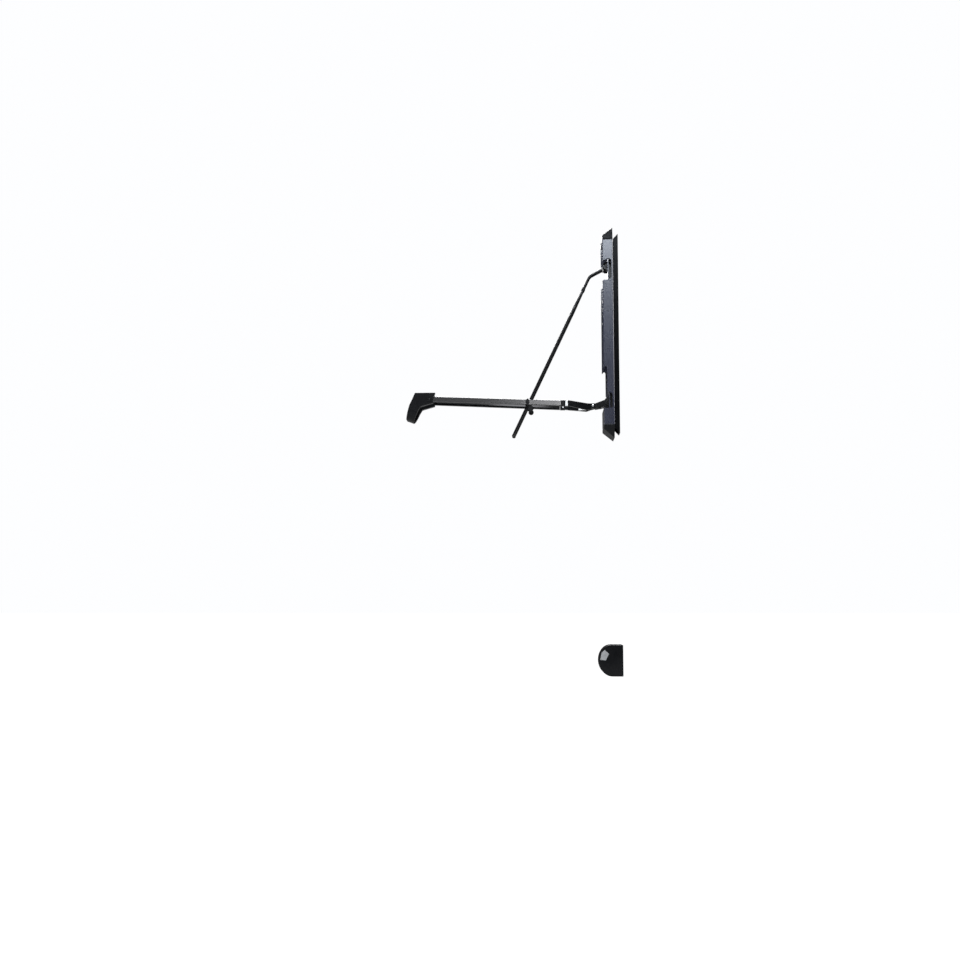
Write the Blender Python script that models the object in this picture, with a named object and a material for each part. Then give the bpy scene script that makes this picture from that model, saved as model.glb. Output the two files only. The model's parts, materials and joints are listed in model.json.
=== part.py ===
# Folding wall bike rack, modelled in metres with +Z up.
# The wall is the plane Y = 0 and the rack reaches out along -Y. X = 0 is its centre plane.
# Z = 0 is half way up the housing. The arms are modelled down, ready for a wheel.

import math

import bmesh
import bpy
from mathutils import Matrix, Vector

# Driving dimensions

GAP = 0.0003                    # between pieces that touch
RUNNING = 0.0001                # radial clearance of a pin in its bore

HOUSING_WIDTH = 0.104
HOUSING_HEIGHT = 0.650
HOUSING_FRONT = 0.049           # from the wall to the front edges
HOUSING_REAR = 0.017            # from the wall to the rear edges
SHELL_WALL = 0.0035
CAP_HEIGHT = 0.040
CAP_CHAMFER = 0.012             # how far the caps' sides draw in
END_SLANT = 0.027               # how much lower the front edge of an end is than its rear edge
FLOOR_FRONT = 0.033             # from the wall to the channel floor
FLOOR_WALL = 0.003
SILL_DROP = 0.025               # the closed front starts this far under the lower pivot

PIVOT_INSET = 0.115             # from each end of the housing to the arm pivots
PIVOT_OUT = 0.033               # from the wall to the arm pivots
PIN_RADIUS = 0.004
PIN_HEAD_RADIUS = 0.0062
PIN_RING_RADIUS = 0.008
PIN_RING = 0.0008
BARREL_RADIUS = 0.0115
BARREL_LENGTH = 0.0425

PLATE_WIDTH = 0.060
PLATE_INSET = 0.017             # how far the plate stops short of the housing's ends
PLATE_DEPTH = 0.015
PLATE_SLANT = 0.016
STEEL = 0.0025
SWIVEL_OUT = 0.022              # from the wall to the swivel axis
SWIVEL_INSET = 0.040            # from each end of the housing to the plate's lugs
LUG_THICKNESS = 0.0035
LUG_RADIUS = 0.0075
WASHER_THICKNESS = 0.003
WALL_SCREW_INSET = 0.080        # from each end of the housing to the wall screws
WALL_SCREW_SPREAD = 0.034
SCREW_RADIUS = 0.003
SCREW_LENGTH = 0.010
SCREW_HEAD_RADIUS = 0.0055
SCREW_HEAD_HEIGHT = 0.0035

BAR_HEIGHT = 0.016
BAR_WIDTH = 0.010
BAR_SPREAD_ROOT = 0.074         # between the bars' centre lines at their sockets
BAR_SPREAD_TIP = 0.060          # and inside the cradle
BAR_START = 0.179               # from the wall
BAR_SHORT = 0.0343              # how far the bars end before the bottom of the cradle's channel
CRADLE_GRIP = 0.0435            # length of bar inside the cradle
CRADLE_SCREW_BACK = 0.025       # from the bars' ends to the cradle screws
BAR_ROOT_DROP = 0.0075          # the bars' centre line under the lower pivot, at the sockets
BAR_TIP_DROP = -0.0105          # and at the tip, where it has risen past the pivot's height
SOCKET_LENGTH = 0.015
RING_LENGTH = 0.007
SPIGOT = 0.006                  # square tongue that runs through ring and socket
LAP_OUT = 0.068                 # from the wall to the round ends of the yoke's fork
LAP_DROP = 0.0120
LAP_RADIUS = 0.0078
LINK_SCREW_OUT = 0.0800
LINK_SCREW_DROP = 0.0110
FORK_INNER = 0.0145             # half the width inside the yoke's fork
TONGUE_HALF = 0.0072            # half the width of the tongue between the links
LINK_HEIGHT = 0.0165
LINK_EYE = 0.0065               # radius of the links' round ends
FORK_DEPTH = 0.0075             # how far the fork's slots reach behind the links' round ends
LINK_PAD = 0.002                # nylon pads on the links' inner faces
GUIDE_OUT = 0.278               # from the wall to the side guides
GUIDE_LENGTH = 0.013
GUIDE_WALL = 0.002
GUIDE_PAD = 0.0012              # thickness of the face that the loop slides on
BUFFER_RADIUS = 0.008
BUFFER_WIDTH = 0.011

CRADLE_WALL = 0.0035            # plastic on each side of a bar
CRADLE_PAD = 0.002
CRADLE_LEG = 0.084              # height of the cradle, which its outline is drawn to
THROAT_OUT = 0.6363             # from the wall to the bottom of the channel that takes the tyre
THROAT_DROP = 0.0519            # and how far under the lower pivot it lies
THROAT_TILT = math.radians(33.5)

LOOP_RADIUS = 0.004
LOOP_SPREAD = 0.049             # between the centre lines of the two legs
STEM_SPREAD = 0.013             # between the two rods near the pivot
STEM_LENGTH = 0.060
STEM_ANGLE = math.radians(27.8)     # the stem points this far below level
LEG_ANGLE = math.radians(25.4)      # the legs lean this far out from plumb
LEG_LENGTH = 0.546
SPLAY_START = 0.056             # along the leg from the bend
SPLAY_LENGTH = 0.058
HUB_RADIUS = 0.009
HUB_BOSS = 0.0145               # from the pivot to the face where the rods enter
FERRULE = 0.0025
CLAMP_LENGTH = 0.010
CLAMP_WALL = 0.0011
SLEEVE_WALL = 0.0012

TYRE_WIDTH = 0.040              # widest tyre that the rack is drawn for
TYRE_ROOM = 0.012               # extra width in the channels that take it
REST_DROP = 0.9855              # the tyre rest's middle under the housing's middle
REST_HEIGHT = 0.092
REST_DEPTH = 0.071
REST_WIDTH = 0.092
REST_SHOULDER = 0.033           # depth at which its top and bottom start to round off
REST_FLOOR = 0.0195             # thickness behind the tyre
REST_LINER = 0.003
REST_SCREW_SEAT = 0.0135        # thickness of plastic under the tyre rest's screw heads
REST_FLANK_START = 0.022        # from the wall to where the flanks begin to draw in
REST_FLANK_TAPER = 0.012        # how far each flank has drawn in, 10 mm beyond the nose
FACET_SINK = 0.0008             # how deep the facet on each wing is sunk in the flank

# Helpers


def clear_scene():
    for old in list(bpy.data.objects):
        bpy.data.objects.remove(old, do_unlink=True)


def finish(name, colour, roughness, metallic):
    made = bpy.data.materials.new(name)
    made.use_nodes = True
    shader = made.node_tree.nodes["Principled BSDF"]
    shader.inputs["Base Color"].default_value = (*colour, 1.0)
    shader.inputs["Roughness"].default_value = roughness
    shader.inputs["Metallic"].default_value = metallic
    return made


def new_object(name, mesh, material):
    made = bpy.data.objects.new(name, mesh)
    bpy.context.scene.collection.objects.link(made)
    if material is not None:
        mesh.materials.append(material)
    return made


def mesh_from(work, name):
    bmesh.ops.recalc_face_normals(work, faces=work.faces)
    mesh = bpy.data.meshes.new(name)
    work.to_mesh(mesh)
    work.free()
    return mesh


def smooth(target, degrees=35.0):
    target.data.shade_smooth()
    target.data.set_sharp_from_angle(angle=math.radians(degrees))


def prism(name, outline, axis, low, high, material=None):
    """Extrude a closed outline along one axis. Its points hold the other two axes, in order."""
    def place(u, v, w):
        return {"X": (w, u, v), "Y": (u, w, v), "Z": (u, v, w)}[axis]
    work = bmesh.new()
    floor = [work.verts.new(place(u, v, low)) for u, v in outline]
    base = work.faces.new(floor)
    grown = bmesh.ops.extrude_face_region(work, geom=[base])
    shift = Vector(place(0.0, 0.0, high - low))
    raised = [part for part in grown["geom"] if isinstance(part, bmesh.types.BMVert)]
    bmesh.ops.translate(work, verts=raised, vec=shift)
    return new_object(name, mesh_from(work, name), material)


def box(name, low, high, material=None):
    outline = [(low[0], low[1]), (high[0], low[1]), (high[0], high[1]), (low[0], high[1])]
    return prism(name, outline, "Z", low[2], high[2], material)


def rod(name, start, end, radius, sides=24, material=None):
    start = Vector(start)
    along = Vector(end) - start
    work = bmesh.new()
    bmesh.ops.create_cone(work, cap_ends=True, segments=sides, radius1=radius, radius2=radius,
                          depth=along.length)
    turn = Vector((0.0, 0.0, 1.0)).rotation_difference(along)
    place = Matrix.Translation(start + along / 2) @ turn.to_matrix().to_4x4()
    bmesh.ops.transform(work, matrix=place, verts=work.verts)
    return new_object(name, mesh_from(work, name), material)


def turned(name, profile, centre, axis, sides=24, material=None):
    """Spin a closed profile of (radius, height) points round an axis through the centre."""
    work = bmesh.new()
    points = [work.verts.new((radius, 0.0, height)) for radius, height in profile]
    pairs = [(i, (i + 1) % len(points)) for i in range(len(points))]
    edges = [work.edges.new((points[a], points[b])) for a, b in pairs
             if profile[a][0] + profile[b][0] > 0.0]
    bmesh.ops.spin(work, geom=points + edges, cent=(0, 0, 0), axis=(0, 0, 1), angle=math.tau, steps=sides,
                   use_merge=True, use_duplicate=False)
    bmesh.ops.remove_doubles(work, verts=work.verts, dist=0.00001)
    turn = Vector((0.0, 0.0, 1.0)).rotation_difference(Vector(axis))
    place = Matrix.Translation(Vector(centre)) @ turn.to_matrix().to_4x4()
    bmesh.ops.transform(work, matrix=place, verts=work.verts)
    return new_object(name, mesh_from(work, name), material)


def boolean(target, other, operation="DIFFERENCE"):
    """Cut, join or intersect with another object, which is used up."""
    change = target.modifiers.new(operation.title(), "BOOLEAN")
    change.operation = operation
    change.solver = "EXACT"
    change.object = other
    bpy.context.view_layer.update()
    seen = target.evaluated_get(bpy.context.evaluated_depsgraph_get())
    result = bpy.data.meshes.new_from_object(seen)
    target.modifiers.clear()
    old = target.data
    target.data = result
    bpy.data.meshes.remove(old)
    bpy.data.objects.remove(other, do_unlink=True)


def soften(target, width, segments=2, limit=40.0):
    change = target.modifiers.new("Softened edges", "BEVEL")
    change.width = width
    change.segments = segments
    change.limit_method = "ANGLE"
    change.angle_limit = math.radians(limit)
    change.use_clamp_overlap = True


def arc(centre, radius, start, end, steps):
    """Points on an arc, with angles in degrees."""
    angles = [math.radians(start + (end - start) * i / steps) for i in range(steps + 1)]
    return [(centre[0] + radius * math.cos(a), centre[1] + radius * math.sin(a)) for a in angles]


def rounded_rectangle(low, high, radius, steps=3):
    corners = (((high[0] - radius, high[1] - radius), 0.0), ((low[0] + radius, high[1] - radius), 90.0),
               ((low[0] + radius, low[1] + radius), 180.0), ((high[0] - radius, low[1] + radius), 270.0))
    outline = []
    for centre, start in corners:
        outline += arc(centre, radius, start, start + 90.0, steps)
    return outline


def filleted(points, radii, steps=6):
    """Round each inner corner of a path in space by its own radius."""
    path = [Vector(points[0])]
    for before, corner, after, radius in zip(points, points[1:], points[2:], radii):
        corner = Vector(corner)
        back = (Vector(before) - corner).normalized()
        ahead = (Vector(after) - corner).normalized()
        half = back.angle(ahead) / 2
        reach = radius / math.tan(half)
        centre = corner + (back + ahead).normalized() * radius / math.sin(half)
        first = corner + back * reach - centre
        last = corner + ahead * reach - centre
        swing = first.angle(last)
        for i in range(steps + 1):
            share = i / steps
            path.append(centre + (first * math.sin((1 - share) * swing) + last * math.sin(share * swing))
                        / math.sin(swing))
    path.append(Vector(points[-1]))
    return path


def swept_rod(name, path, radius, sides=12, material=None):
    """A round rod along a path in space, with flat ends."""
    work = bmesh.new()
    rings = []
    side = None
    for i, point in enumerate(path):
        before = path[max(i - 1, 0)]
        after = path[min(i + 1, len(path) - 1)]
        along = (after - before).normalized()
        if side is None:
            side = along.orthogonal().normalized()
        side = (side - along * side.dot(along)).normalized()
        other = along.cross(side)
        turn = [math.tau * k / sides for k in range(sides)]
        rings.append([work.verts.new(point + radius * (side * math.cos(a) + other * math.sin(a))) for a in turn])
    for ring, following in zip(rings, rings[1:]):
        for k in range(sides):
            work.faces.new((ring[k], ring[(k + 1) % sides], following[(k + 1) % sides], following[k]))
    work.faces.new(list(reversed(rings[0])))
    work.faces.new(rings[-1])
    return new_object(name, mesh_from(work, name), material)


def moving_frame(name, location):
    made = bpy.data.objects.new(name, None)
    made.location = location
    bpy.context.scene.collection.objects.link(made)
    bpy.context.view_layer.update()
    return made


def carry(carrier, *pieces):
    for piece in pieces:
        piece.parent = carrier
        piece.matrix_parent_inverse = carrier.matrix_world.inverted()


def screw(name, seat, direction, length, material, head=SCREW_HEAD_RADIUS, shank=SCREW_RADIUS,
          tall=SCREW_HEAD_HEIGHT):
    """A domed socket screw that points along a direction, with its head's underside on the seat."""
    profile = [(0.0, -length), (shank, -length), (shank, 0.0), (head, 0.0),
               (head, tall * 0.5), (head * 0.72, tall), (shank * 0.7, tall), (shank * 0.7, tall * 0.4),
               (0.0, tall * 0.4)]
    back = tuple(-part for part in direction)
    made = turned(name, profile, seat, back, 16, material)
    smooth(made)
    return made


clear_scene()

BLACK_PLASTIC = finish("moulded black plastic", (0.030, 0.031, 0.036), 0.42, 0.0)
SATIN_SHELL = finish("satin shell plastic", (0.055, 0.058, 0.070), 0.30, 0.0)
BLACK_STEEL = finish("black coated steel", (0.022, 0.023, 0.026), 0.45, 0.6)
GREY_BAR = finish("grey anodised bar", (0.175, 0.178, 0.182), 0.38, 0.8)
WHITE_NYLON = finish("white nylon", (0.78, 0.78, 0.76), 0.45, 0.0)
BRIGHT_STEEL = finish("plated steel", (0.52, 0.52, 0.53), 0.28, 1.0)
RUBBER = finish("black rubber", (0.020, 0.020, 0.021), 0.80, 0.0)

# Where things lie

HALF = HOUSING_WIDTH / 2
TOP = HOUSING_HEIGHT / 2
SEAM = TOP - CAP_HEIGHT
INNER = HALF - SHELL_WALL
PIVOT_RISE = TOP - PIVOT_INSET
SWIVEL_RISE = TOP - SWIVEL_INSET
BAR_END = THROAT_OUT - BAR_SHORT
UPPER_PIVOT = Vector((0.0, -PIVOT_OUT, PIVOT_RISE))
LOWER_PIVOT = Vector((0.0, -PIVOT_OUT, -PIVOT_RISE))
SILL = -PIVOT_RISE - SILL_DROP

swivel_axis = moving_frame("swivel_axis", (0.0, -SWIVEL_OUT, 0.0))
lower_axis = moving_frame("lower_arm_axis", LOWER_PIVOT)
upper_axis = moving_frame("upper_arm_axis", UPPER_PIVOT)
carry(swivel_axis, lower_axis, upper_axis)

# Wall plate: a bent steel channel with a lug at each end that carries a swivel pin

plate_half = PLATE_WIDTH / 2
plate_top = TOP - PLATE_INSET
wall_screw_rise = TOP - WALL_SCREW_INSET
plate_side = [(0.0, -plate_top), (0.0, plate_top), (-PLATE_DEPTH, plate_top - PLATE_SLANT),
              (-PLATE_DEPTH, PLATE_SLANT - plate_top)]
wall_plate = prism("wall_plate", plate_side, "X", -plate_half, plate_half, BLACK_STEEL)
boolean(wall_plate, box("hollow", (STEEL - plate_half, -PLATE_DEPTH * 2, -plate_top * 2),
                        (plate_half - STEEL, -STEEL, plate_top * 2)))
lug_outline = ([(LUG_RADIUS * 1.8, -STEEL / 2)] + [(LUG_RADIUS, -SWIVEL_OUT)]
               + arc((0.0, -SWIVEL_OUT), LUG_RADIUS, -15.0, -165.0, 8)
               + [(-LUG_RADIUS, -SWIVEL_OUT)] + [(-LUG_RADIUS * 1.8, -STEEL / 2)])
for sign in (1, -1):
    heights = sorted((sign * SWIVEL_RISE, sign * (SWIVEL_RISE + LUG_THICKNESS)))
    boolean(wall_plate, prism("lug", lug_outline, "Z", heights[0], heights[1]), "UNION")
    boolean(wall_plate, rod("pin bore", (0, -SWIVEL_OUT, heights[0] - 0.01),
                            (0, -SWIVEL_OUT, heights[1] + 0.01), PIN_RADIUS + RUNNING))
    for share in (0.184, 0.551):
        rise = sign * share * wall_screw_rise
        tall = 0.114 * wall_screw_rise
        wide = PLATE_WIDTH * 0.183
        slot = rounded_rectangle((-wide, rise - tall), (wide, rise + tall), wide * 0.9, 4)
        boolean(wall_plate, prism("lightening slot", slot, "Y", -PLATE_DEPTH, 0.01))
    for side in (1, -1):
        place = (side * WALL_SCREW_SPREAD / 2, 0.01, sign * wall_screw_rise)
        boolean(wall_plate, rod("screw hole", place, (place[0], -PLATE_DEPTH, place[2]),
                                SCREW_RADIUS + GAP, 16))

for height, sign in (("upper", 1), ("lower", -1)):
    seat = sign * (SWIVEL_RISE + LUG_THICKNESS + GAP)
    tail = sign * (SWIVEL_RISE - WASHER_THICKNESS - 2 * STEEL - GAP)
    pin_length = abs(seat - tail)
    profile = [(0.0, -pin_length), (PIN_RADIUS * 0.7, -pin_length), (PIN_RADIUS, -pin_length + 0.0015),
               (PIN_RADIUS, 0.0), (PIN_RADIUS * 1.6, 0.0), (PIN_RADIUS * 1.6, 0.002), (PIN_RADIUS, 0.003),
               (0.0, 0.003)]
    pin = turned(height + "_swivel_pin", profile, (0, -SWIVEL_OUT, seat), (0, 0, sign), 20, BRIGHT_STEEL)
    smooth(pin)
    ring_low = SWIVEL_RISE - WASHER_THICKNESS
    ring_high = SWIVEL_RISE - GAP
    profile = [(PIN_RADIUS + RUNNING, ring_low), (LUG_RADIUS - GAP, ring_low), (LUG_RADIUS - GAP, ring_high),
               (PIN_RADIUS + RUNNING, ring_high)]
    washer = turned(height + "_swivel_washer", profile, (0, -SWIVEL_OUT, 0), (0, 0, sign), 20, WHITE_NYLON)
    smooth(washer)
    for side, offset in (("left", -1), ("right", 1)):
        seat = (offset * WALL_SCREW_SPREAD / 2, -STEEL - GAP, sign * wall_screw_rise)
        screw(height + "_" + side + "_wall_screw", seat, (0, 1, 0), STEEL, BRIGHT_STEEL)

# Tyre rest: a moulded block on the wall below, with a channel between two wings for the rear tyre

rest_half = REST_HEIGHT / 2
nose = REST_DEPTH - REST_SHOULDER
rest_profile = [(0.0, -rest_half - REST_DROP), (0.0, rest_half - REST_DROP)]
nose_turns = [math.radians(degrees) for degrees in range(0, 181, 12)]
rest_profile += [(-REST_SHOULDER - nose * math.sin(turn), rest_half * math.cos(turn) - REST_DROP)
                 for turn in nose_turns]
tyre_rest = prism("tyre_rest", rest_profile, "X", -REST_WIDTH / 2, REST_WIDTH / 2, BLACK_PLASTIC)
channel_half = (TYRE_WIDTH + TYRE_ROOM) / 2
flare = 0.008
channel = [(-channel_half - flare, -REST_DEPTH - 0.01), (-channel_half, -REST_DEPTH * 0.62)]
channel += [(x, y) for x, y in arc((-channel_half + 0.012, -REST_FLOOR - 0.012), 0.012, 180.0, 90.0, 4)]
channel += [(x, y) for x, y in arc((channel_half - 0.012, -REST_FLOOR - 0.012), 0.012, 90.0, 0.0, 4)]
channel += [(channel_half, -REST_DEPTH * 0.62), (channel_half + flare, -REST_DEPTH - 0.01)]
boolean(tyre_rest, prism("tyre channel", channel, "Z", -REST_DROP - REST_HEIGHT, -REST_DROP + REST_HEIGHT))


def beyond_flank(name, side, sink):
    """All that lies outside a flank of the tyre rest, or outside a face sunk in that flank."""
    near = side * (REST_WIDTH / 2 - sink)
    past = side * REST_WIDTH
    far_out = -REST_DEPTH - 0.01
    plan = [(near, -REST_FLANK_START), (near - side * REST_FLANK_TAPER, far_out), (past, far_out),
            (past, -REST_FLANK_START)]
    return prism(name, plan, "Z", -REST_DROP - REST_HEIGHT, -REST_DROP + REST_HEIGHT)


def on_wing(out, rise):
    """A point on the side of a wing: out by shares of the depth, and up by shares of the half height."""
    return (-out * REST_DEPTH, rise * rest_half - REST_DROP)


for side in (1, -1):
    boolean(tyre_rest, beyond_flank("flank taper", side, 0.0))
soften(tyre_rest, 0.0012, 2)
facet = [on_wing(0.765, 0.693), on_wing(0.585, 0.439), on_wing(0.720, 0.024), on_wing(0.952, 0.046),
         on_wing(0.895, 0.487)]
for side in (1, -1):
    ends = sorted((side * REST_WIDTH / 4, side * REST_WIDTH))
    recess = prism("wing facet", facet, "X", ends[0], ends[1])
    boolean(recess, beyond_flank("sunk flank", side, FACET_SINK), "INTERSECT")
    boolean(tyre_rest, recess)
rest_screw_rise = REST_HEIGHT * 0.28
for sign in (1, -1):
    centre = (0.0, 0.01, -REST_DROP + sign * rest_screw_rise)
    boolean(tyre_rest, rod("screw hole", centre, (0, -REST_DEPTH, centre[2]), SCREW_RADIUS + GAP, 16))
    seat = (0.0, -REST_SCREW_SEAT, centre[2])
    boolean(tyre_rest, rod("counterbore", seat, (0, -REST_DEPTH, centre[2]), SCREW_HEAD_RADIUS + GAP, 20))
smooth(tyre_rest, 30.0)

liner_half = channel_half - 0.012
liner_outline = rounded_rectangle((-liner_half, -rest_half * 0.86 - REST_DROP),
                                  (liner_half, rest_half * 0.86 - REST_DROP), 0.004)
liner = prism("tyre_rest_liner", liner_outline, "Y", -REST_FLOOR - GAP - REST_LINER, -REST_FLOOR - GAP, RUBBER)
for sign in (1, -1):
    height = -REST_DROP + sign * rest_screw_rise
    boolean(liner, rod("screw hole", (0, 0, height), (0, -REST_DEPTH, height), SCREW_HEAD_RADIUS + GAP, 20))
    seat = (0.0, -REST_SCREW_SEAT - GAP, height)
    title = ("upper" if sign > 0 else "lower") + "_tyre_rest_screw"
    screw(title, seat, (0, 1, 0), REST_SCREW_SEAT - 0.001, BRIGHT_STEEL)

# Housing: a moulded shell with a channel in front where the arms fold away


def end_z(out, sign):
    """Height of the slanted end at a distance out from the wall."""
    share = (out - HOUSING_REAR) / (HOUSING_FRONT - HOUSING_REAR)
    return sign * (TOP - END_SLANT * share)


shell_side = [(-HOUSING_REAR, -SEAM + GAP), (-HOUSING_REAR, SEAM - GAP), (-HOUSING_FRONT, SEAM - GAP),
              (-HOUSING_FRONT, -SEAM + GAP)]
shell = prism("housing_shell", shell_side, "X", -HALF, HALF, SATIN_SHELL)
soften(shell, 0.0022, 3)
bpy.context.view_layer.update()
floor_back = FLOOR_FRONT - FLOOR_WALL
boolean(shell, box("front channel", (-INNER, -HOUSING_FRONT * 2, SILL), (INNER, -FLOOR_FRONT, TOP * 2)))
boolean(shell, box("rear hollow", (-INNER, -floor_back, -TOP * 2), (INNER, 0.01, TOP * 2)))
boolean(shell, box("lower hollow", (-INNER, -HOUSING_FRONT + SHELL_WALL, -TOP * 2),
                   (INNER, -floor_back + 0.002, SILL - SHELL_WALL)))

UPPER_NOTCH_TOP = PIVOT_RISE + 0.015
UPPER_NOTCH_BOTTOM = PIVOT_RISE - 0.050
NOTCH_DEPTH = HOUSING_FRONT - 0.0215
upper_notch = ([(-HOUSING_FRONT * 2, UPPER_NOTCH_TOP - 0.006)]
               + [(-HOUSING_FRONT - 0.001, UPPER_NOTCH_TOP - 0.006)]
               + [(-HOUSING_FRONT + 0.005, UPPER_NOTCH_TOP - 0.005)]
               + arc((-0.0215 - 0.010, UPPER_NOTCH_TOP - 0.010), 0.010, 90.0, 0.0, 5)
               + arc((-0.0215 - 0.010, UPPER_NOTCH_BOTTOM + 0.010), 0.010, 0.0, -90.0, 5)
               + [(-HOUSING_FRONT + 0.004, UPPER_NOTCH_BOTTOM - 0.002)]
               + [(-HOUSING_FRONT - 0.001, UPPER_NOTCH_BOTTOM - 0.006)]
               + [(-HOUSING_FRONT * 2, UPPER_NOTCH_BOTTOM - 0.006)])
for side in (1, -1):
    ends = sorted((side * (INNER - 0.0005), side * HALF * 2))
    boolean(shell, prism("upper notch", upper_notch, "X", ends[0], ends[1]))

RELIEF_TOP = -PIVOT_RISE + 0.103
RELIEF_OUT = 0.0380
lower_notch = [(-HOUSING_FRONT * 2, RELIEF_TOP - 0.0070), (-HOUSING_FRONT - 0.001, RELIEF_TOP - 0.0070),
               (-HOUSING_FRONT + 0.0030, RELIEF_TOP - 0.0030), (-HOUSING_FRONT + 0.0055, RELIEF_TOP),
               (-RELIEF_OUT - 0.0020, RELIEF_TOP), (-RELIEF_OUT, RELIEF_TOP - 0.0040),
               (-RELIEF_OUT, -PIVOT_RISE + 0.026), (-RELIEF_OUT + 0.008, -PIVOT_RISE + 0.022),
               (-0.0265, -PIVOT_RISE + 0.022), (-0.0225, -PIVOT_RISE + 0.018), (-0.0225, SILL + 0.004),
               (-0.0265, SILL), (-HOUSING_FRONT * 2, SILL)]
for side in (1, -1):
    ends = sorted((side * (INNER - 0.0005), side * HALF * 2))
    boolean(shell, prism("lower notch", lower_notch, "X", ends[0], ends[1]))

for low, high in ((PIVOT_RISE - 0.052, PIVOT_RISE + 0.024), (SILL + 0.001, -PIVOT_RISE + 0.024)):
    boolean(shell, box("floor window", (-0.0275, -HOUSING_FRONT * 2, low), (0.0275, 0.0, high)))
for share in (-0.919, -0.421, -0.140, 0.140, 0.421, 0.877):
    rise = share * SEAM
    for side in (1, -1):
        ends = sorted((side * 0.0265, side * (INNER + SHELL_WALL / 2)))
        boolean(shell, box("rib", (ends[0], -floor_back - FLOOR_WALL / 2, rise - 0.001),
                           (ends[1], -HOUSING_REAR - 0.0095, rise + 0.001)), "UNION")
smooth(shell)

# End caps: slanted, with their sides drawn in, and open in front at the top where the folded bars pass


def end_cap(name, sign, front_open):
    outline = [(-HOUSING_REAR, sign * SEAM), (-HOUSING_REAR, end_z(HOUSING_REAR, sign)),
               (-HOUSING_FRONT, end_z(HOUSING_FRONT, sign)), (-HOUSING_FRONT, sign * SEAM)]
    cap = prism(name, outline, "X", -HALF, HALF, BLACK_PLASTIC)
    for side in (1, -1):
        wedge = [(side * HALF, sign * SEAM), (side * (HALF - CAP_CHAMFER), sign * TOP),
                 (side * HALF * 1.3, sign * TOP * 1.05), (side * HALF * 1.3, sign * SEAM)]
        boolean(cap, prism("side chamfer", wedge, "Y", -HOUSING_FRONT * 2, 0.01))
    soften(cap, 0.0016, 2)
    bpy.context.view_layer.update()
    inner = HALF - CAP_CHAMFER - SHELL_WALL
    hollow_top = sign * (TOP - END_SLANT - SHELL_WALL)
    ends = sorted((sign * SEAM - sign * 0.01, hollow_top))
    front = -HOUSING_FRONT + SHELL_WALL
    if front_open:
        boolean(cap, box("arm passage", (-0.0395, -HOUSING_FRONT * 2, SEAM - 0.01),
                         (0.0395, -FLOOR_FRONT, TOP * 1.1)))
        front = -floor_back
    boolean(cap, box("hollow", (-inner, front, ends[0]), (inner, 0.01, ends[1])))
    ends = sorted((sign * SEAM - sign * 0.01, sign * (TOP - END_SLANT / 2)))
    boolean(cap, box("room for the wall plate", (-inner, -0.0275, ends[0]), (inner, 0.01, ends[1])))
    smooth(cap)
    return cap


upper_cap = end_cap("upper_end_cap", 1, True)
lower_cap = end_cap("lower_end_cap", -1, False)

# Spine: a steel channel behind the shell's floor, with ears for the swivel pins and cheeks for the arm pins

spine_front = floor_back - GAP
spine_half = BARREL_LENGTH / 2 + GAP + STEEL
ear_far = SWIVEL_RISE - WASHER_THICKNESS - GAP
spine_side = [(-spine_front, -ear_far), (-spine_front, ear_far), (-0.018, ear_far), (-0.018, -ear_far)]
spine = prism("spine", spine_side, "X", -spine_half, spine_half, BLACK_STEEL)
boolean(spine, box("channel", (STEEL - spine_half, -spine_front + STEEL, STEEL - ear_far),
                   (spine_half - STEEL, 0.0, ear_far - STEEL)))
for sign, pivot in ((1, UPPER_PIVOT), (-1, LOWER_PIVOT)):
    for side in (1, -1):
        cheek = ([(-0.0245, pivot.z - 0.021), (-0.0245, pivot.z + 0.021)]
                 + arc((pivot.y, pivot.z), 0.0125, 75.0, 285.0, 12))
        ends = sorted((side * (spine_half - STEEL), side * spine_half))
        boolean(spine, prism("cheek", cheek, "X", ends[0], ends[1]), "UNION")
    boolean(spine, rod("pin bore", (-0.1, pivot.y, pivot.z), (0.1, pivot.y, pivot.z), PIN_RADIUS + RUNNING))
    inside = spine_half - STEEL
    boolean(spine, box("arm window", (-inside, -0.05, pivot.z - 0.021), (inside, -0.024, pivot.z + 0.021)))
    boolean(spine, rod("swivel bore", (0, -SWIVEL_OUT, sign * 0.2), (0, -SWIVEL_OUT, sign * 0.4),
                       PIN_RADIUS + RUNNING))
for number, share in enumerate((-0.714, -0.381, 0.381, 0.714), 1):
    rise = share * PIVOT_RISE
    hole = ((0, 0.0, rise), (0, -HOUSING_FRONT * 2, rise), 0.002 + GAP, 12)
    boolean(spine, rod("screw hole", *hole))
    boolean(shell, rod("screw hole", *hole))
    seat = (0.0, -spine_front + STEEL + GAP, rise)
    fixing = screw("cover_screw_%d" % number, seat, (0, -1, 0), STEEL + FLOOR_WALL, BRIGHT_STEEL,
                   0.004, 0.002)
    carry(swivel_axis, fixing)


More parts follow.
